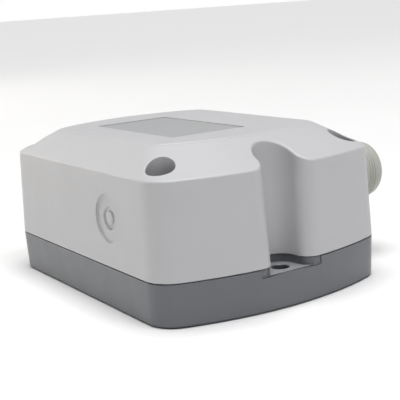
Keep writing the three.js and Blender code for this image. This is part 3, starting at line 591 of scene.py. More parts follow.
def cover_outside():
    brow = plain_loop(*top_sizes(0))
    roof = Roof(plain_loop(*wall_sizes(SHOULDER_Z, 0)), SHOULDER_Z, brow, TOP_Z)
    loops = [[(x, y, roof(x, y)) for x, y in offset(brow, -out)] for out in (0.55, 0.25)]
    loops += [seated(brow, 0, TOP_Z - 0.045), seated(brow, 0.25, TOP_Z)]
    land_edge = ((-0.5, 0), (-0.34, 0.01), (-0.2, 0.06), (0, 0.2), (0.16, 0.31),
                 (0.34, LAND_HEIGHT), (0.5, LAND_HEIGHT))
    loops += [seated(brow, LAND_INSET + at, TOP_Z + rise) for at, rise in land_edge]
    window = rectangle(LABEL_LOW.x - LABEL_GAP, LABEL_HIGH.x + LABEL_GAP,
                       LABEL_LOW.y - LABEL_GAP, LABEL_HIGH.y + LABEL_GAP, 0.7, 5)
    window_edge = ((-0.5, 0), (-0.16, 0), (-0.05, -0.04), (0, -0.15), (0.03, -LABEL_DEPTH),
                   (0.3, -LABEL_DEPTH))
    loops += [seated(window, at, LAND_Z + rise) for at, rise in window_edge]
    spots = [point for ring in roof.rings[2:-1:2] for point in ring[::2]]
    wells = [(*place, COUNTERBORE_R, SCREW_SHELF) for place in SCREW_PLACES]
    return hall("cover_fine", SEAM_TOP, 0, roof, 0.95, wells, loops, spots)


def cover_cavity():
    """The hollow in the cover, round its screw bosses."""
    low_z, high_z = SHOULDER_Z - 1.3, TOP_Z - 2.75
    high = plain_loop(*top_sizes(LAND_INSET))
    roof = Roof(plain_loop(*wall_sizes(low_z, COVER_WALL)), low_z, high, high_z)
    spots = [point for ring in roof.rings[2:-1:3] for point in ring[::2]]
    cavity = hall("cavity", SEAM_TOP - 1, COVER_WALL, roof, 0.6, (), [level(high, high_z)], spots)
    return cut(cavity, *drums(SCREW_PLACES, BOSS_R, SEAM_TOP - 2, LAND_Z + 2))


def knock_out_cutter():
    """The sunk disc that marks the blank cable entry, with a deeper ring at its middle."""
    section = [(0, -0.8), (2.2, -0.8, 0.35), (2.3, -1.5, 0.2), (3.75, -1.5, 0.25), (3.9, -0.8, 0.3),
               (8.05, -0.8, 0.25), (8.15, 0, 0.2), (8.5, 0.12), (8.5, 1.2), (0, 1.2)]
    tilt = math.atan(DRAFT) - math.pi / 2
    return shift(turned("ring", section, 96), -WALL_X, ENTRY_Y, ENTRY_Z, tilt, "Y")


@piece
def cover():
    bores = holes(SCREW_PLACES, 2.3, SEAM_TOP, SCREW_SHELF, 0.2)
    entry = turn_to_x(drum("entry", 8.3, -8, 8, steps=64))
    return cut(cover_outside(), cover_cavity(), *bores, entry, knock_out_cutter())


# ---------------------------------------------------------------- base, gasket and label
PLATE_LOW, PLATE_HIGH = span("gear_plate")
PILLAR_TOP = PLATE_LOW.z - 0.3
BOARD_LOW, BOARD_HIGH = span("circuit_board")
PLATE_SCREWS = middles("plate_screw", 4)
BOARD_SCREWS = middles("board_screw", 3)
POST_SCREWS = BOARD_SCREWS[:2]  # the third screw goes into the gear plate's spacer
OUTPUT = middle("output_bush")
IDLER = middle("idler_axle")
MOTOR = middle("motor_can")


def pocket_cutter(reach=8, past_flare=0.2):
    """The pockets over the two fixing pads. They stand out past the bowed ends, and run a
    little past the channel's flares, so that each pocket stops at an upright edge."""
    loop, _ = notched_loop(JOINT_Z, POCKET_SET_BACK)
    first = SIDE_STEPS + CORNER_STEPS + END_STEPS - 1
    half = loop[first:first + 2 * (FLARE_STEPS + INNER_STEPS) + 5]
    half[0] += (half[1] - half[0]) * (1 - past_flare)
    half[-1] += (half[-2] - half[-1]) * (1 - past_flare)
    outline = np.concatenate([half, half[[-1, 0]] + [0, reach]])
    return gather("pockets", [stacked("pocket", [level(outline * end, z) for z in (PAD_Z, BASE_TOP + 2)])
                              for end in (1, -1)])


def rim_groove():
    """The groove round the top of the base, which follows the channels."""
    z0, z1 = JOINT_Z - 1.3, BASE_TOP + 1
    outer, inner = (notched_loop(JOINT_Z, inset)[0] for inset in (0.95, 2.35))
    return stacked("groove", [level(outer, z0), level(outer, z1), level(inner, z1), level(inner, z0)], True)


@piece
def base_housing():
    body = rounded("base_fine", lambda z, inset: plain_loop(*wall_sizes(z, inset)), 0, BASE_TOP, 0.9, 0.2)
    hollow = rounded("hollow", lambda z, inset: notched_loop(BASE_TOP, BASE_WALL + inset, 0)[0],
                     FLOOR, BASE_TOP + 1, 0.8, 0)
    body = cut(body, hollow)
    foot = FLOOR - 1
    posts = drums(SCREW_PLACES, 5, foot, BASE_TOP, 0.15)
    posts += drums(PLATE_SCREWS, 3.6, foot, PILLAR_TOP, 0.2)
    posts += drums(POST_SCREWS, 3, foot, BOARD_LOW.z - 0.3, 0.2)
    posts += drums([OUTPUT], 12.5, foot, 7, 0.3) + drums([IDLER], 3.6, foot, 4, 0.2)
    for x, y in PLATE_SCREWS + POST_SCREWS:
        for dx, dy in ((6.2, 0.7), (0.7, 6.2)):
            posts.append(block("web", x - dx, x + dx, y - dy, y + dy, foot, 5, 0.1, 0.1))
    body = add(body, *posts)
    bores = holes([(0, CHANNEL_CENTRE), (0, -CHANNEL_CENTRE)], FIXING_HOLE_R, 0, PAD_Z, 0.25, 64)
    bores += drums(SCREW_PLACES, 2.2, 4, BASE_TOP + 1)
    bores += drums(PLATE_SCREWS, 1.7, 6.5, PILLAR_TOP + 1)
    bores += drums(POST_SCREWS, 1.5, 11, BOARD_LOW.z + 1)
    bores += drums([OUTPUT], 9.9, 1.2, 8, 0, 72) + holes([OUTPUT], 8.6, 0, 1.4, 0.25, 72)
    bores += drums([IDLER], 1.8, 1.2, 5)
    body = cut(body, pocket_cutter(), rim_groove(), *bores)
    round_pad_lips(body)
    return body


def round_pad_lips(body):
    """Rounds the outer edge of each fixing pad."""
    shape = bmesh.new()
    shape.from_mesh(body.data)
    lips = []
    for edge in shape.edges:
        ends = [v.co / MM for v in edge.verts]
        outside = all(abs(p.z - PAD_Z) < 0.01 and abs(p.y) > CHANNEL_CENTRE + 5 for p in ends)
        if outside and len(edge.link_faces) == 2 and edge.calc_face_angle(0) > 1:
            if any(abs(face.normal.y) > 0.9 for face in edge.link_faces):
                lips.append(edge)
    bmesh.ops.bevel(shape, geom=lips, offset=0.45 * MM, segments=3, profile=0.5, affect="EDGES")
    shape.to_mesh(body.data)
    shape.free()


@piece
def cover_gasket():
    """A flat rubber cord in the groove, with a rounded top that closes the joint."""
    z0, z1 = heights("cover_gasket")
    outer, facing = notched_loop(JOINT_Z, 1.1)
    section = [(0, z0), (0, z1 - 0.3), (0.1, z1 - 0.08), (0.4, z1), (0.7, z1), (1.0, z1 - 0.08),
               (1.1, z1 - 0.3), (1.1, z0)]
    return stacked("gasket_fine", [level(outer - facing * at, z) for at, z in section], True)


@piece
def label_panel():
    return filled("label_fine", "label_panel", 0.6, 0.12)


# ---------------------------------------------------------------- screws
SCREWS = {  # head height, shank radius and thread pitch
    "cover_screw": (2.6, 1.9, 1.3), "plate_screw": (1.8, 1.3, 0.9), "motor_screw": (1.8, 1.2, 0.7),
    "switch_screw": (1.5, 1.0, 0.6), "board_screw": (1.6, 1.1, 0.8), "cam_screw": (2.0, 1.2, 0.7),
}


def drive_cutter(x, y, half, width, z0, z1, cross=True):
    """A slot, or two that cross."""
    slots = [(half, width / 2), (width / 2, half)] if cross else [(half, width / 2)]
    return [block("bar", x - dx, x + dx, y - dy, y + dy, z0, z1, width * 0.4, 0.1) for dx, dy in slots]


def pan_screw(node, head_height, shank, pitch, cross=True):
    """A pan head screw with its thread, where the CAD's screw stands."""
    low, high = span(node)
    place = middle(node)
    head = (high.x - low.x) / 2
    seat = high.z - head_height
    crown = [(shank * 0.85, seat - 0.1), (head - 0.12, seat), (head, seat + 0.12),
             (head, seat + 0.35 * head_height)]
    for i in range(1, 7):
        turn = math.pi / 2 * i / 6
        crown.append((head * (0.45 + 0.55 * math.cos(turn)),
                      seat + head_height * (0.35 + 0.65 * math.sin(turn))))
    body = threaded(f"{node}_fine", shank, low.z, seat - 0.2, pitch, *place, 32, crown)
    return cut(body, *drive_cutter(*place, head * 0.55, head * 0.24, high.z - head_height * 0.55,
                                   high.z + 1, cross))


def terminal_screw(node):
    low, high = span(node)
    place = middle(node)
    body = drum(f"{node}_fine", (high.x - low.x) / 2, low.z, high.z, *place, 0.15, 40)
    return cut(body, *drive_cutter(*place, 2, 0.5, high.z - 0.9, high.z + 1, False))


for screw in sorted(BODY_OF):
    family = screw.rstrip("0123456789").rstrip("_")
    if family in SCREWS:
        PIECES[screw] = partial(pan_screw, screw, *SCREWS[family])
    elif family == "terminal_screw":
        PIECES[screw] = partial(terminal_screw, screw)

# ---------------------------------------------------------------- cable gland, along its own Z
GLAND_FLATS = 21
GLAND_BORE_R = 4.9


@piece
def gland_washer():
    section = [(8.25, 0.35, 0.2), (11, 0.35, 0.4), (11, 1.6, 0.4), (8.25, 1.6, 0.2)]
    return turn_to_x(turned("gland_washer_fine", section, 72))


@piece
def gland_body():
    flange = prism("gland_body_fine", hexagon(GLAND_FLATS, 0.5), 1.9, 6.4, 0.25)
    easing = turned("easing", [(0, 1.85), (11.5, 1.85, 0.6), (12.2, 2.6), (12.2, 5.6), (11.4, 6.45, 0.3),
                               (0, 6.45)], 96)
    thread = threaded("thread", 7.95, -11, 2.4, 1.5, steps=72)
    collar = threaded("collar", 8.4, 5.9, 15, 1.5, steps=72)
    bore = turned("bore", [(0, -12), (GLAND_BORE_R + 1.4, -12), (GLAND_BORE_R, -10.4),
                           (GLAND_BORE_R, 9.5), (7, 9.5), (7, 16), (0, 16)], 72)
    return turn_to_x(cut(add(common(flange, easing), thread, collar), bore))


@piece
def gland_locknut():
    high = -COVER_WALL - 0.4
    low = high - 4.6
    nut = prism("gland_locknut_fine", hexagon(GLAND_FLATS, 0.4), low, high, 0.2)
    easing = turned("easing", [(0, low - 0.1), (10.6, low - 0.1), (12, low + 1), (12, high - 0.4),
                               (11.4, high + 0.1), (0, high + 0.1)], 96)
    return turn_to_x(cut(common(nut, easing), hole(8.2, low, high, lip=0.4, steps=72)))


@piece
def gland_seal():
    """The rubber sleeve that grips the cable, with its waisted bore."""
    section = [(4.7, 9.9, 0.2), (6.6, 9.9, 0.3), (6.6, 16.2, 1), (5.6, 19.6, 0.3), (4.7, 19.6, 0.3),
               (4.4, 17, 1), (4.6, 15.5, 0.4), (4.4, 14, 0.4), (4.6, 12.5, 0.4), (4.4, 11, 0.4)]
    return turn_to_x(turned("gland_seal_fine", section))


@piece
def gland_dome_nut():
    grip = prism("gland_dome_nut_fine", hexagon(GLAND_FLATS + 0.6, 0.5), 6.9, 15.4, 0.25)
    easing = turned("easing", [(0, 6.85), (11.3, 6.85), (11.9, 7.6, 0.5), (11.9, 12.6, 1.5),
                               (10.7, 15.3, 1), (10.4, 15.5), (0, 15.5)], 96, 5)
    grooves = [point for z in (15.9, 17.1, 18.3)
               for point in ((10.8, z, 0.15), (10.5, z + 0.25, 0.1), (10.5, z + 0.45, 0.1),
                             (10.8, z + 0.7, 0.15))]
    dome = turned("dome", [(0, 7.2), (10.75, 7.2), *grooves, (10.8, 20.1, 1.2), (10, 23, 2.5),
                           (7.2, 24.4, 1.2), (5.4, 24.4), (0, 24.4)], 96, 6)
    hollow = turned("hollow", [(0, 6), (9.2, 6), (8.9, 7.2), (8.9, 15.6, 0.5), (7.1, 17, 0.5),
                               (6.1, 20.2, 0.5), (5.4, 21, 0.3), (5.4, 23.9, 0.3), (6.3, 25), (0, 25)], 72)
    return turn_to_x(cut(add(common(grip, easing), dome), hollow))


# ---------------------------------------------------------------- gears
GEAR_MODULE = 0.8
PRESSURE_ANGLE = math.radians(20)
BACKLASH = 0.14
OUTPUT_TEETH, WHEEL_TEETH, PINION_TEETH = 60, 40, 16
TO_IDLER = math.atan2(IDLER.y - OUTPUT.y, IDLER.x - OUTPUT.x)
TO_MOTOR = math.atan2(MOTOR.y - IDLER.y, MOTOR.x - IDLER.x)
LOW_LAYER = (4.3, 8.2)
HIGH_LAYER = (9.1, 14)


def gear(name, teeth, first_tooth, z0, z1, steps=5):
    """Involute teeth, with one centred on the angle given."""
    pitch = GEAR_MODULE * teeth / 2
    base = pitch * math.cos(PRESSURE_ANGLE)
    tip = pitch + 0.9 * GEAR_MODULE
    root = pitch - 1.25 * GEAR_MODULE

    def involute(radius):
        angle = math.acos(min(1, base / radius))
        return math.tan(angle) - angle

    half = math.pi / (2 * teeth) - BACKLASH / (2 * pitch) + involute(pitch)
    start = max(root + 0.15, base)
    flank = [(root, half + 0.1 / pitch), (root + 0.05, half + 0.04 / pitch), (start, half - involute(start))]
    for i in range(1, steps + 1):
        radius = start + (tip - start) * i / steps
        flank.append((radius, half - involute(radius)))
    flank[-1] = (tip - 0.03, flank[-1][1])
    flank.append((tip, flank[-1][1] - 0.05 / tip))
    tooth = [(r, -away) for r, away in flank] + [(r, away) for r, away in reversed(flank)]
    outline = [polar(r, first_tooth + at + away) for at in angles(teeth) for r, away in tooth]
    return prism(name, outline, z0, z1, 0.08, 2)


def pinion(name, from_wheel, z0, z1):
    """A pinion with a gap between teeth facing back to the wheel that it meets."""
    return gear(name, PINION_TEETH, from_wheel + math.pi + math.pi / PINION_TEETH, z0, z1)


@piece
def output_gear():
    z0, z1 = HIGH_LAYER
    wheel = gear("output_gear_fine", OUTPUT_TEETH, TO_IDLER, z0, z1)
    dishes = [turned("dish", [(11.5, a), (21, a), (20.7, b, 0.4), (11.8, b, 0.4)], 72)
              for a, b in ((z1 + 1, 12.6), (z0 - 1, 10.4))]
    windows = drums([polar(16.2, a) for a in angles(6)], 2.6, z0, z1, 0.2, 40)
    return shift(cut(wheel, *dishes, *windows, hole(8.3, z0, z1, lip=0.2, steps=64)), *OUTPUT)


@piece
def idler_gear():
    top = HIGH_LAYER[1] + 0.6
    wheel = gear("idler_gear_fine", WHEEL_TEETH, TO_MOTOR, *LOW_LAYER)
    wheel = add(wheel, pinion("pinion", TO_IDLER, LOW_LAYER[1] - 0.5, top))
    dish = turned("dish", [(8.4, 9), (13.6, 9), (13.3, 7.3, 0.3), (8.7, 7.3, 0.3)])
    return shift(cut(wheel, dish, hole(1.65, LOW_LAYER[0], top)), *IDLER)


@piece
def motor_pinion():
    z0, z1 = LOW_LAYER[0], LOW_LAYER[1] + 0.4
    return shift(cut(pinion("motor_pinion_fine", TO_MOTOR, z0, z1), hole(2.3, z0, z1)), *MOTOR)


# ---------------------------------------------------------------- output shaft and cams
@piece
def output_shaft():
    top = heights("output_shaft")[1]
    profile = [(0, 0.4), (8, 0.4, 0.4), (8, 3.4, 0.2), (6.9, 3.4, 0.2), (6.9, 5.2, 0.2), (8, 5.2, 0.2),
               (8, 8.4), (10.4, 8.4, 0.1), (10.4, 8.8, 0.1), (8, 8.8), (8, 14.3, 0.4), (6.6, 14.3, 0.2),
               (6.6, 15.6, 0.3), (5, 15.6, 0.2), (5, 19.2, 0.2), (4, 19.2, 0.1), (4, top, 0.4), (0, top)]
    half = 4.5
    socket = block("socket", -half, half, -half, half, -1, 12, 0.4, 0)
    mouth = stacked("mouth", [level(rectangle(-w, w, -w, w), z)
                              for w, z in ((half + 1.5, -0.6), (half - 0.2, 1.1))])
    flat = block("flat", 3.2, 6, -6, 6, 19.4, top + 1, 0.1, 0.1)
    tapped = drum("tapped", 1.5, top - 8, top + 1)
    return shift(cut(turned("output_shaft_fine", profile, 72, 3), socket, mouth, flat, tapped), *OUTPUT)


@piece
def shaft_oring():
    section = [(7.56 + 0.48 * math.cos(a), 4.3 + 0.7 * math.sin(a)) for a in angles(16)]
    return lathe("shaft_oring_fine", section, 72, *OUTPUT)


def cam(node, lobe, collar_height):
    """A switch cam with its lobe at the angle given and a ribbed collar to set it by."""
    z0, top = heights(node)
    z1 = top - collar_height
    spread = math.radians(24)
    outline = []
    for angle in angles(144):
        away = abs(math.remainder(angle - lobe, 2 * math.pi))
        lift = (1 + math.cos(math.pi * away / spread)) / 2 if away < spread else 0
        outline.append(polar(8.5 + 2.5 * lift, angle))
    disc = prism(f"{node}_fine", outline, z0, z1, 0.25)
    ribs = [polar(6.15 if i % 4 > 1 else 6.4, angle) for i, angle in enumerate(angles(160))]
    collar = prism("collar", ribs, z1 - 0.5, top, 0.1, 2)
    bore = cut(drum("bore", 4.3, z0 - 1, top + 1, steps=64), block("key", 3.5, 6, -6, 6, 0, 60, 0, 0))
    notch = block("notch", 7.2, 8.6, -0.5, 0.5, z1 - 0.5, z1 + 1, 0.1, 0.1)
    shift(notch, 0, 0, turn=lobe + math.pi)
    return shift(cut(add(disc, collar), bore, notch), *OUTPUT)


@piece
def output_bush():
    return turned("output_bush_fine", [(8.2, 1.5, 0.2), (9.6, 1.5, 0.2), (9.6, 7.3), (11.6, 7.3, 0.15),
                                       (11.6, 8.1, 0.2), (8.2, 8.1, 0.2)], 72, 3, *OUTPUT)


@piece
def plate_bush():
    seat = PLATE_HIGH.z + 0.3
    foot = PLATE_LOW.z - 0.1
    return turned("plate_bush_fine", [(5.2, foot, 0.15), (6.5, foot, 0.15), (6.5, seat), (8, seat, 0.1),
                                      (8, 18.6, 0.25), (5.2, 18.6, 0.2)], 64, 3, *OUTPUT)


@piece
def cam_washer():
    z0, z1 = heights("cam_washer")
    section = [(1.6, z0, 0.1), (6, z0, 0.15), (6, z1, 0.15), (1.6, z1, 0.1)]
    return turned("cam_washer_fine", section, 64, 3, *OUTPUT)


@piece
def idler_axle():
    return drum("idler_axle_fine", 1.5, *heights("idler_axle"), *IDLER, 0.3)


# ---------------------------------------------------------------- motor
MOTOR_EAR = 24
EARS = [(0, MOTOR_EAR), (0, -MOTOR_EAR)]


@piece
def motor_gearcase():
    z0, z1 = heights("motor_gearcase")
    shell = turned("motor_gearcase_fine", [(0, z0), (19.4, z0, 0.3), (20, z0 + 0.8, 0.3), (20, z0 + 3.4),
                                           (19.7, z0 + 3.6), (19.7, z0 + 4.1), (20, z0 + 4.3),
                                           (20, z1, 0.4), (0, z1)], 96, 3)
    strap = prism("strap", rectangle(-4, 4, -MOTOR_EAR - 4, MOTOR_EAR + 4, 3.9, 10), z0, z0 + 1.4, 0.15)
    bores = [drum("bore", 2.4, z0 - 1, z0 + 6), *holes(EARS, 1.6, z0, z0 + 1.4)]
    return shift(cut(add(shell, strap), *bores), *MOTOR)


@piece
def motor_can():
    z0, top = heights("motor_can")
    z1 = top - 0.6
    can = turned("motor_can_fine", [(0, z0), (20, z0, 0.3), (20, z0 + 1.1, 0.15), (19.6, z0 + 1.3, 0.15),
                                    (19.6, z1 - 0.2, 1.8), (6.6, z1, 0.3), (6.1, top, 0.2), (0, top)], 96, 6)
    dents = drums([polar(13.2, a + 0.3) for a in angles(6)], 1.7, z1 - 0.5, z1 + 1, 0.2, 32)
    tags = [block("tag", 18.9, 20.4, y - 0.9, y + 0.9, 31, 33, 0.1, 0.1) for y in (-2, 1)]
    return shift(add(cut(can, *dents), *tags), *MOTOR)


@piece
def motor_shaft():
    return drum("motor_shaft_fine", 2, *heights("motor_shaft"), *MOTOR, 0.25)


# ---------------------------------------------------------------- wiring board
POLES = middles("terminal_screw", 4)


@piece
def circuit_board():
    board = filled("circuit_board_fine", "circuit_board", 0.8, 0.08)
    return cut(board, *holes(BOARD_SCREWS, 1.5, BOARD_LOW.z, BOARD_HIGH.z, 0.05))


@piece
def terminal_block():
    low, high = span("terminal_block")
    body = filled("terminal_block_fine", "terminal_block", 0.3, 0.2)
    wells = drums(POLES, 1.95, high.z - 4.5, high.z + 1, 0.1, 40)
    entries = [block("entry", high.x - 7, high.x + 1, p.y - 1.7, p.y + 1.7, low.z + 2, low.z + 5.4, 0, 0.3)
               for p in POLES]
    splits = [block("split", high.x - 0.5, high.x + 1, y - 0.2, y + 0.2, low.z - 1, high.z + 1, 0, 0)
              for y in ((a.y + b.y) / 2 for a, b in zip(POLES, POLES[1:]))]
    slope = [(7.4, 1), (12, 1), (12, -3.6)]
    wedge = stacked("wedge", [[(low.x + dx, y, high.z + dz) for dx, dz in slope]
                              for y in (low.y - 1, high.y + 1)])
    return cut(body, *wells, *entries, *splits, wedge)


@piece
def capacitor():
    low, high = span("capacitor")
    body = block("capacitor_fine", low.x, high.x, low.y, high.y, low.z, high.z - 0.01, 1.2, 0.7)
    foot = block("foot", low.x + 0.8, high.x - 0.8, low.y + 1, high.y - 1, low.z - 0.1, low.z + 0.3, 0.3, 0)
    return cut(body, foot)


@piece
def board_connector():
    low, high = span("board_connector")
    shell = filled("board_connector_fine", "board_connector", 0.3, 0.12)
    wall = 0.8
    hollow = block("hollow", low.x + wall, high.x - wall, low.y + wall, high.y - wall,
                   low.z + 1.4, high.z + 1, 0.2, 0)
    key = block("key", low.x - 1, low.x + 1, -26.2, -23.8, low.z + 2.6, high.z + 1, 0, 0)
    return cut(shell, hollow, key)


@piece
def board_spacer():
    z0, z1 = heights("board_spacer")
    body = cut(prism("board_spacer_fine", hexagon(4.6, 0.2), z0, z1), hole(1.4, z0, z1))
    return shift(body, *middle("board_spacer"))


def resistor(name, x, y0, y1):
    """A banded resistor lying on the board on its two bent legs."""
    z = BOARD_HIGH.z + 1.5
    length = y1 - y0
    profile = [(0, 0), (0.9, 0, 0.3), (1.1, 0.6, 0.3), (0.95, 1.4, 0.5), (0.95, length - 1.4, 0.5),
               (1.1, length - 0.6, 0.3), (0.9, length, 0.3), (0, length)]
    barrel = shift(turned(name, profile, 32), x, y0, z, -math.pi / 2, "X")
    legs = [tube("leg", [(x, end + toward, z), (x, end - toward * 0.9, z), (x, end - toward * 1.5, z - 0.5),
                         (x, end - toward * 1.6, BOARD_HIGH.z)], 0.28, 10, 16)
            for end, toward in ((y0, 1), (y1, -1))]
    return gather(name, [barrel, *legs])


def solder_pads():
    """Tinned pads where the parts on the board are soldered."""
    places = [(p.x + 4.5, p.y) for p in POLES]
    places += [(8.5, -31), (8.5, -15), (15.6, -23.2), (15.6, -26.8), (22.6, -10), (19.4, -10)]
    z = BOARD_LOW.z
    profile = [(0, z - 0.5), (0.4, z - 0.45), (0.9, z - 0.12), (1.1, z - 0.02), (1.1, z + 0.05),
               (0, z + 0.05)]
    return gather("solder_joints", [lathe("pad", profile, 24, x, y) for x, y in places])


# ---------------------------------------------------------------- gear plate and limit switches
SWITCH_SCREWS = middles("switch_screw", 2)
SWITCH_X0 = 14.6
SWITCH_SEAM = 0.12
PLUNGER_Y = 9
LEVER_PIVOT = (14.0, 3.6)


@piece
def gear_plate():
    low, high = PLATE_LOW, PLATE_HIGH
    plate = prism("gear_plate_fine", rectangle(low.x, high.x, low.y, high.y, 5, 8), low.z, high.z, 0.15)
    bores = ((1.7, PLATE_SCREWS), (1.35, SWITCH_SCREWS), (6.8, [OUTPUT]), (1.8, [IDLER]), (6, [MOTOR]),
             (1.6, [MOTOR + Vector(ear) for ear in EARS]), (1.4, BOARD_SCREWS[2:]))
    return cut(plate, *[bore for r, places in bores for bore in holes(places, r, low.z, high.z, 0.12, 48)])


def switch_body(side):
    low, high = span(f"{side}_switch")
    z0, z1 = low.z, high.z
    mid = (z0 + z1) / 2
    body = block(f"{side}_switch_fine", SWITCH_X0, high.x, low.y, high.y, z0, z1, 0.6, 0.25)
    faces = ((SWITCH_X0 - 1, high.x + 1, low.y - 1, low.y + SWITCH_SEAM),
             (high.x - SWITCH_SEAM, high.x + 1, low.y - 1, high.y + 1),
             (SWITCH_X0 - 1, high.x + 1, high.y - SWITCH_SEAM, high.y + 1))
    seams = [block("seam", *face, z1 - 1.6, z1 - 1.35, 0, 0) for face in faces]
    x, y = LEVER_PIVOT
    cheeks = block("cheeks", x - 1, SWITCH_X0 + 0.5, y - 1.2, y + 1.2, z0 + 0.2, z1 - 0.2, 0.3, 0.15)
    slot = block("slot", x - 2, SWITCH_X0, y - 2, y + 2, z0 + 0.8, z1 - 0.8, 0, 0)
    plunger_hole = shift(drum("plunger_hole", 1, -1, 4), SWITCH_X0, PLUNGER_Y, mid, math.pi / 2, "Y")
    body = cut(add(body, cheeks), slot, plunger_hole, *seams, *holes(SWITCH_SCREWS, 1.35, z0, z1, 0.2))
    tags = [block("tag", high.x - 0.5, high.x + 1.7, y - 1, y + 1, mid - 0.25, mid + 0.25, 0.1, 0.08)
            for y in (5.6, 18.4)]
    return add(body, *tags)


def switch_plunger(side):
    low, high = span(f"{side}_switch_plunger")
    plunger = drum(f"{side}_plunger_fine", 0.8, 0, high.x - low.x, edge=0.3, steps=32)
    return shift(plunger, low.x, PLUNGER_Y, (low.z + high.z) / 2, math.pi / 2, "Y")


def switch_lever(side):
    """A spring sheet lever with a rounded follower pressed into its tip."""
    near = [(13.9, 2.9), (13.0, 17.0, 1.5), (11.75, 18.6, 0.8), (11.75, 21.4, 0.8), (13.0, 22.6)]
    far = [(13.4, 22.8), (12.15, 21.5, 0.5), (12.15, 18.5, 0.5), (13.4, 17.1, 1.2), (14.3, 3)]
    outline = eased([*near, *far][::-1])
    return prism(f"{side}_lever_fine", outline, *heights(f"{side}_switch_lever"), 0.06, 2)


# ---------------------------------------------------------------- materials
LOOKS = {}
EVEN = (1, 1, 1)
ROUND = (1, 1, 8)  # marks that run round a piece turned about Z
LENGTHWAYS = (1, 0.08, 1)
FIRST, SECOND, MIXED = 6, 7, 2  # a colour mix's sockets, which share their names with others


def wire(tree, kind, inputs, **settings):
    """A new node's outputs. Its inputs are numbers, colours or other nodes' sockets."""
    node = tree.nodes.new(f"ShaderNode{kind}")
    for name, value in settings.items():
        setattr(node, name, value)
    for name, value in inputs.items():
        if isinstance(value, bpy.types.NodeSocket):
            tree.links.new(value, node.inputs[name])
        else:
            node.inputs[name].default_value = value
    return node.outputs


def record_color(slot):
    return next(m["base_color"] for m in RECORD["materials"] if m["slot"] == slot)[:3]


class Look:
    """A node material with the parts every finish here shares, in its slot's own colour."""

    def __init__(self, name, roughness, color=None, metallic=0.0, specular=0.5):
        material = bpy.data.materials.new(name)
        material.use_nodes = True
        LOOKS[name] = material
        self.color = color = color or record_color(name)
        self.tree = material.node_tree
        self.shader = self.tree.nodes["Principled BSDF"].inputs
        self.shader["Base Color"].default_value = (*color, 1)
        self.shader["Roughness"].default_value = roughness
        self.shader["Metallic"].default_value = metallic
        self.shader["Specular IOR Level"].default_value = specular
        self.coordinates = self.add("TexCoord", {})
        self.place = self.coordinates["Object"]
        self.relief = None

    def add(self, kind, inputs, **settings):
        return wire(self.tree, kind, inputs, **settings)

    def noise(self, size_mm, detail=2.0, rough=0.5, stretch=EVEN):
        place = self.place
        if stretch != EVEN:
            place = self.add("Mapping", {"Vector": place, "Scale": stretch})["Vector"]
        return self.add("TexNoise", {"Vector": place, "Scale": 1000 / size_mm, "Detail": detail,
                                     "Roughness": rough})["Fac"]

    def ramp(self, value, low, high, start=0, end=1):
        """Maps a value between low and high to a number between start and end."""
        return self.add("MapRange", {"Value": value, "From Min": low, "From Max": high,
                                     "To Min": start, "To Max": end})["Result"]

    def cloud(self, size_mm, detail=2.0):
        return self.ramp(self.noise(size_mm, detail), 0.3, 0.7)

    def mix(self, share, first, second):
        """Colours mixed by a share. Each is a colour or another mix."""
        ends = [c if isinstance(c, bpy.types.NodeSocket) else (*c, 1) for c in (first, second)]
        inputs = {"Factor": share, FIRST: ends[0], SECOND: ends[1]}
        return self.add("Mix", inputs, data_type="RGBA")[MIXED]

    def shade(self, factor):
        return tuple(min(1, c * factor) for c in self.color)

    def paint(self, share, first, second):
        self.painted = self.mix(share, first, second)
        self.tree.links.new(self.painted, self.shader["Base Color"])

    def vary_color(self, size_mm, amount, detail=3.0):
        self.paint(self.cloud(size_mm, detail), self.shade(1 - amount), self.shade(1 + amount))

    def vary_roughness(self, size_mm, low, high, stretch=EVEN):
        value = self.ramp(self.noise(size_mm, 3, 0.5, stretch), 0.3, 0.7, low, high)
        self.tree.links.new(value, self.shader["Roughness"])

    def bump(self, height, strength, depth_mm):
        inputs = {"Height": height, "Strength": strength, "Distance": depth_mm * MM}
        if self.relief:
            inputs["Normal"] = self.relief
        self.relief = self.add("Bump", inputs)["Normal"]
        self.tree.links.new(self.relief, self.shader["Normal"])


def moulded(name, roughness, grain=0.35, strength=0.15, mottle=0.03, color=None, specular=0.5):
    """Injection moulded plastic: a fine spark-eroded grain over slow waves and faint clouding."""
    look = Look(name, roughness, color, 0, specular)
    look.vary_color(22, mottle)
    look.vary_roughness(6, roughness - 0.05, roughness + 0.05)
    look.bump(look.noise(grain, 2, 0.6), strength, 0.02)
    look.bump(look.noise(14, 1), 0.15, 0.12)
    return look


def rub_pads(look, color, inner, outer):
    """Painted sheen on the fixing pads: faces that look up, farther out along Y than inner, are painted
    paler in place of the light that they reflect.
    """
    along = look.add("SeparateXYZ", {"Vector": look.place})["Y"]
    away = look.add("Math", {0: along}, operation="ABSOLUTE")[0]
    upward = look.add("SeparateXYZ", {"Vector": look.coordinates["Normal"]})["Z"]
    shares = {0: look.ramp(away, inner * MM, outer * MM), 1: look.ramp(upward, 0.9, 1.0)}
    # the paler colour is a painted highlight, mixed in where the upward faces and the outer pads meet
    look.paint(look.add("Math", shares, operation="MULTIPLY")[0], look.painted, color)


def film(name, color):
    """Satin label film with a hair-fine texture and a soft sheen."""
    look = Look(name, 0.42, color)
    look.vary_color(30, 0.012)
    look.vary_roughness(3, 0.38, 0.5)
    look.bump(look.noise(0.5, 2, 0.6, (1, 0.15, 1)), 0.2, 0.01)
    look.bump(look.noise(9, 1), 0.12, 0.05)


def rubber(name, color):
    look = Look(name, 0.8, color, 0, 0.35)
    look.vary_color(5, 0.12)
    look.vary_roughness(2, 0.7, 0.9)
    look.bump(look.noise(0.4, 3, 0.7), 0.35, 0.03)


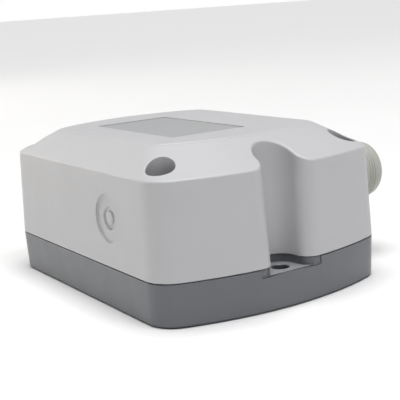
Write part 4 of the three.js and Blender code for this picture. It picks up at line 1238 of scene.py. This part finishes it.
def metal(name, roughness, stretch=EVEN, wear=0.08, color=None):
    """Plated or turned metal with fine marks along one direction and dull patches."""
    look = Look(name, roughness, color, 1.0)
    look.vary_color(4, wear, 4)
    look.vary_roughness(1.2, roughness - 0.08, roughness + 0.12, stretch)
    look.bump(look.noise(0.6, 4, 0.6, stretch), 0.2, 0.01)


def board_mask(name):
    """Solder mask over copper tracks that show as paler green lines, with drilled speckle."""
    look = Look(name, 0.35)
    cells = look.add("TexVoronoi", {"Vector": look.place, "Scale": 260, "Randomness": 0.55},
                     distance="MANHATTAN", feature="DISTANCE_TO_EDGE")
    track = look.ramp(cells["Distance"], 0.07, 0.1, 1, 0)
    look.paint(track, look.mix(look.cloud(7, 3), look.shade(0.92), look.shade(1.08)), look.shade(1.9))
    look.vary_roughness(4, 0.28, 0.42)
    look.bump(track, 0.4, 0.035)
    look.bump(look.noise(0.8, 2), 0.15, 0.01)


def resistor_paint(name):
    """Pale body paint with coloured bands across it."""
    look = Look(name, 0.4, (0.55, 0.45, 0.28))
    along = look.add("SeparateXYZ", {"Vector": look.place})["Y"]
    wave = look.add("Math", {0: along, 1: 0.65 * MM}, operation="PINGPONG")[0]
    ground = look.mix(look.cloud(1.5), (0.52, 0.42, 0.26), (0.58, 0.48, 0.3))
    look.paint(look.ramp(wave, 0.4 * MM, 0.45 * MM), ground, (0.18, 0.05, 0.02))
    look.bump(look.noise(0.5), 0.2, 0.02)


def make_looks():
    moulded("acetal", 0.38, 0.3)
    moulded("switch_black", 0.45, 0.35)
    moulded("gland_plastic", 0.46, 0.5)
    for slot in ("cam_red", "cam_blue", "block_green"):
        moulded(slot, 0.42, 0.3)
    for slot in ("wire_brown", "wire_blue", "wire_black"):
        moulded(slot, 0.45, 0.5)
    moulded("capacitor_blue", 0.25, 1.5, 0.1, 0.05)
    moulded("cover_plastic", 0.45, 0.35, 0.2, 0.012, (0.53, 0.53, 0.541))
    base = moulded("base_plastic", 0.36, 0.45, 0.12, 0.03, (0.125, 0.132, 0.145), 0.7)
    # painted sheen: the upward faces of the base's fixing pads are painted this paler grey in place of
    # reflected light
    rub_pads(base, (0.27, 0.273, 0.278), 49, 50.5)
    film("label_film", (0.4, 0.405, 0.41))
    rubber("rubber", (0.012, 0.012, 0.013))
    metal("steel", 0.32, ROUND)
    metal("plate_steel", 0.36, LENGTHWAYS, color=record_color("steel"))
    metal("gearcase_metal", 0.42, EVEN, 0.14)
    metal("brass", 0.28, ROUND, 0.1)
    metal("tin", 0.25, color=(0.75, 0.76, 0.78))
    board_mask("board_green")
    resistor_paint("resistor_paint")


make_looks()


# ---------------------------------------------------------------- assembly
SHARP_ANGLE = math.radians(32)
LOOK_OF = {node: "plate_steel" for node in ("gear_plate", "lower_switch_lever", "upper_switch_lever")}
LEADS = {
    "motor_lead_1": [(0, -8, 32), (3, -8.6, 32.2), (9, -13, 37.5), (14.2, -21, 36), (15.6, -23, 30),
                     (15.6, -23.2, 24.7)],
    "motor_lead_2": [(0, -5, 32), (3.4, -5.2, 32.4), (10.5, -9.5, 38.4), (15.2, -20, 38.6),
                     (15.6, -26.4, 33), (15.6, -26.8, 24.7)],
    "switch_lead_1": [(25, 14, 22.2), (27.2, 13.4, 22.4), (28.6, 8, 23.4), (27, -1, 25),
                      (23.4, -8.4, 25.6), (22.6, -10, 22.9)],
    "switch_lead_2": [(25, 14, 28.8), (27.6, 13.4, 28.8), (30.2, 6, 28.4), (26, -4, 28.2),
                      (20.4, -8.6, 26.6), (19.4, -10, 22.9)],
}
LEAD_R = 0.62


def dress(obj, look, slot, body):
    """Gives a piece its material, its body and clean shading: smooth, with creases kept sharp."""
    obj.data.materials.clear()
    obj.data.materials.append(LOOKS[look])
    for face in obj.data.polygons:
        face.use_smooth = True
        face.material_index = 0
    obj.data.set_sharp_from_angle(angle=SHARP_ANGLE)
    obj.modifiers.new("normals", "WEIGHTED_NORMAL").keep_sharp = True
    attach(obj, body)


def stand_in(obj, node):
    """A finished piece takes the place of its CAD node, on the same body."""
    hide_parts(node)
    dress(obj, LOOK_OF.get(node, SLOT_OF[node]), SLOT_OF[node], BODY_OF[node])


def assemble():
    for node, shape in PIECES.items():
        stand_in(shape(), node)
    for node, lobe, collar_height in (("lower_cam", 0, 2.0), ("upper_cam", -math.pi / 2, 0.7)):
        stand_in(cam(node, lobe, collar_height), node)
    for side in ("lower", "upper"):
        stand_in(switch_body(side), f"{side}_switch")
        stand_in(switch_lever(side), f"{side}_switch_lever")
        stand_in(switch_plunger(side), f"{side}_switch_plunger")
    for node, points in LEADS.items():
        stand_in(tube(f"{node}_fine", points, LEAD_R), node)
    dress(resistor("board_resistor", 15.4, -17, -10.6), "resistor_paint", "acetal", "base")
    dress(solder_pads(), "tin", "steel", "base")


assemble()

# ---------------------------------------------------------------- floor and light
WHITE = (1, 1, 1, 1)


def floor(reach=30.0, z=-0.0002):
    mesh = bpy.data.meshes.new("floor")
    corners = [(x * reach, y * reach, 0) for x, y in ((-1, -1), (1, -1), (1, 1), (-1, 1))]
    mesh.from_pydata(corners, [], [(0, 1, 2, 3)])
    obj = into_scene("floor", mesh)
    look = Look("floor_paint", 0.7, (0.84, 0.84, 0.84), 0, 0.2)
    look.vary_color(300, 0.006)
    look.vary_roughness(50, 0.65, 0.75)
    mesh.materials.append(LOOKS["floor_paint"])
    obj.location.z = z


def softbox(name, place, size, power, color, aim=(0, 0, 0.025)):
    data = bpy.data.lights.new(name, "AREA")
    data.shape = "RECTANGLE"
    data.size, data.size_y = size
    data.energy = power
    data.color = color
    light = into_scene(name, data)
    light.location = place
    light.rotation_mode = "QUATERNION"
    light.rotation_quaternion = (Vector(aim) - Vector(place)).to_track_quat("-Z", "Y")


def ceiling(power, spread):
    """Even light from a very wide panel overhead."""
    data = bpy.data.lights.new("ceiling", "SUN")
    data.energy = power
    data.angle = math.radians(spread)
    into_scene("ceiling", data)


def surroundings(horizon, overhead, start, end):
    """A white backdrop all round that fades to a dimmer ceiling between two heights."""
    world = bpy.data.worlds.new("studio")
    bpy.context.scene.world = world
    world.use_nodes = True
    tree = world.node_tree
    place = wire(tree, "TexCoord", {})["Generated"]
    height = wire(tree, "SeparateXYZ", {"Vector": place})["Z"]
    band = wire(tree, "MapRange", {"Value": height, "From Min": start, "From Max": end,
                                   "To Min": horizon, "To Max": overhead}, interpolation_type="SMOOTHSTEP")
    background = tree.nodes["Background"].inputs
    tree.links.new(band["Result"], background["Strength"])
    background["Color"].default_value = WHITE


def studio():
    surroundings(1.0, 0.15, 0.03, 0.16)
    ceiling(2.6, 34)
    softbox("front", (0.1, -0.5, 1.15), (0.4, 0.3), 4.2, (0.98, 0.98, 1))
    softbox("left", (-1.0, 0.55, 0.35), (0.6, 0.7), 0.3, (1, 0.97, 0.92))
    softbox("sheen", (-0.45, 1.0, 0.22), (1.1, 0.5), 3.6, (1, 0.94, 0.84))
    bpy.context.scene.view_settings.view_transform = "Standard"


floor()
studio()
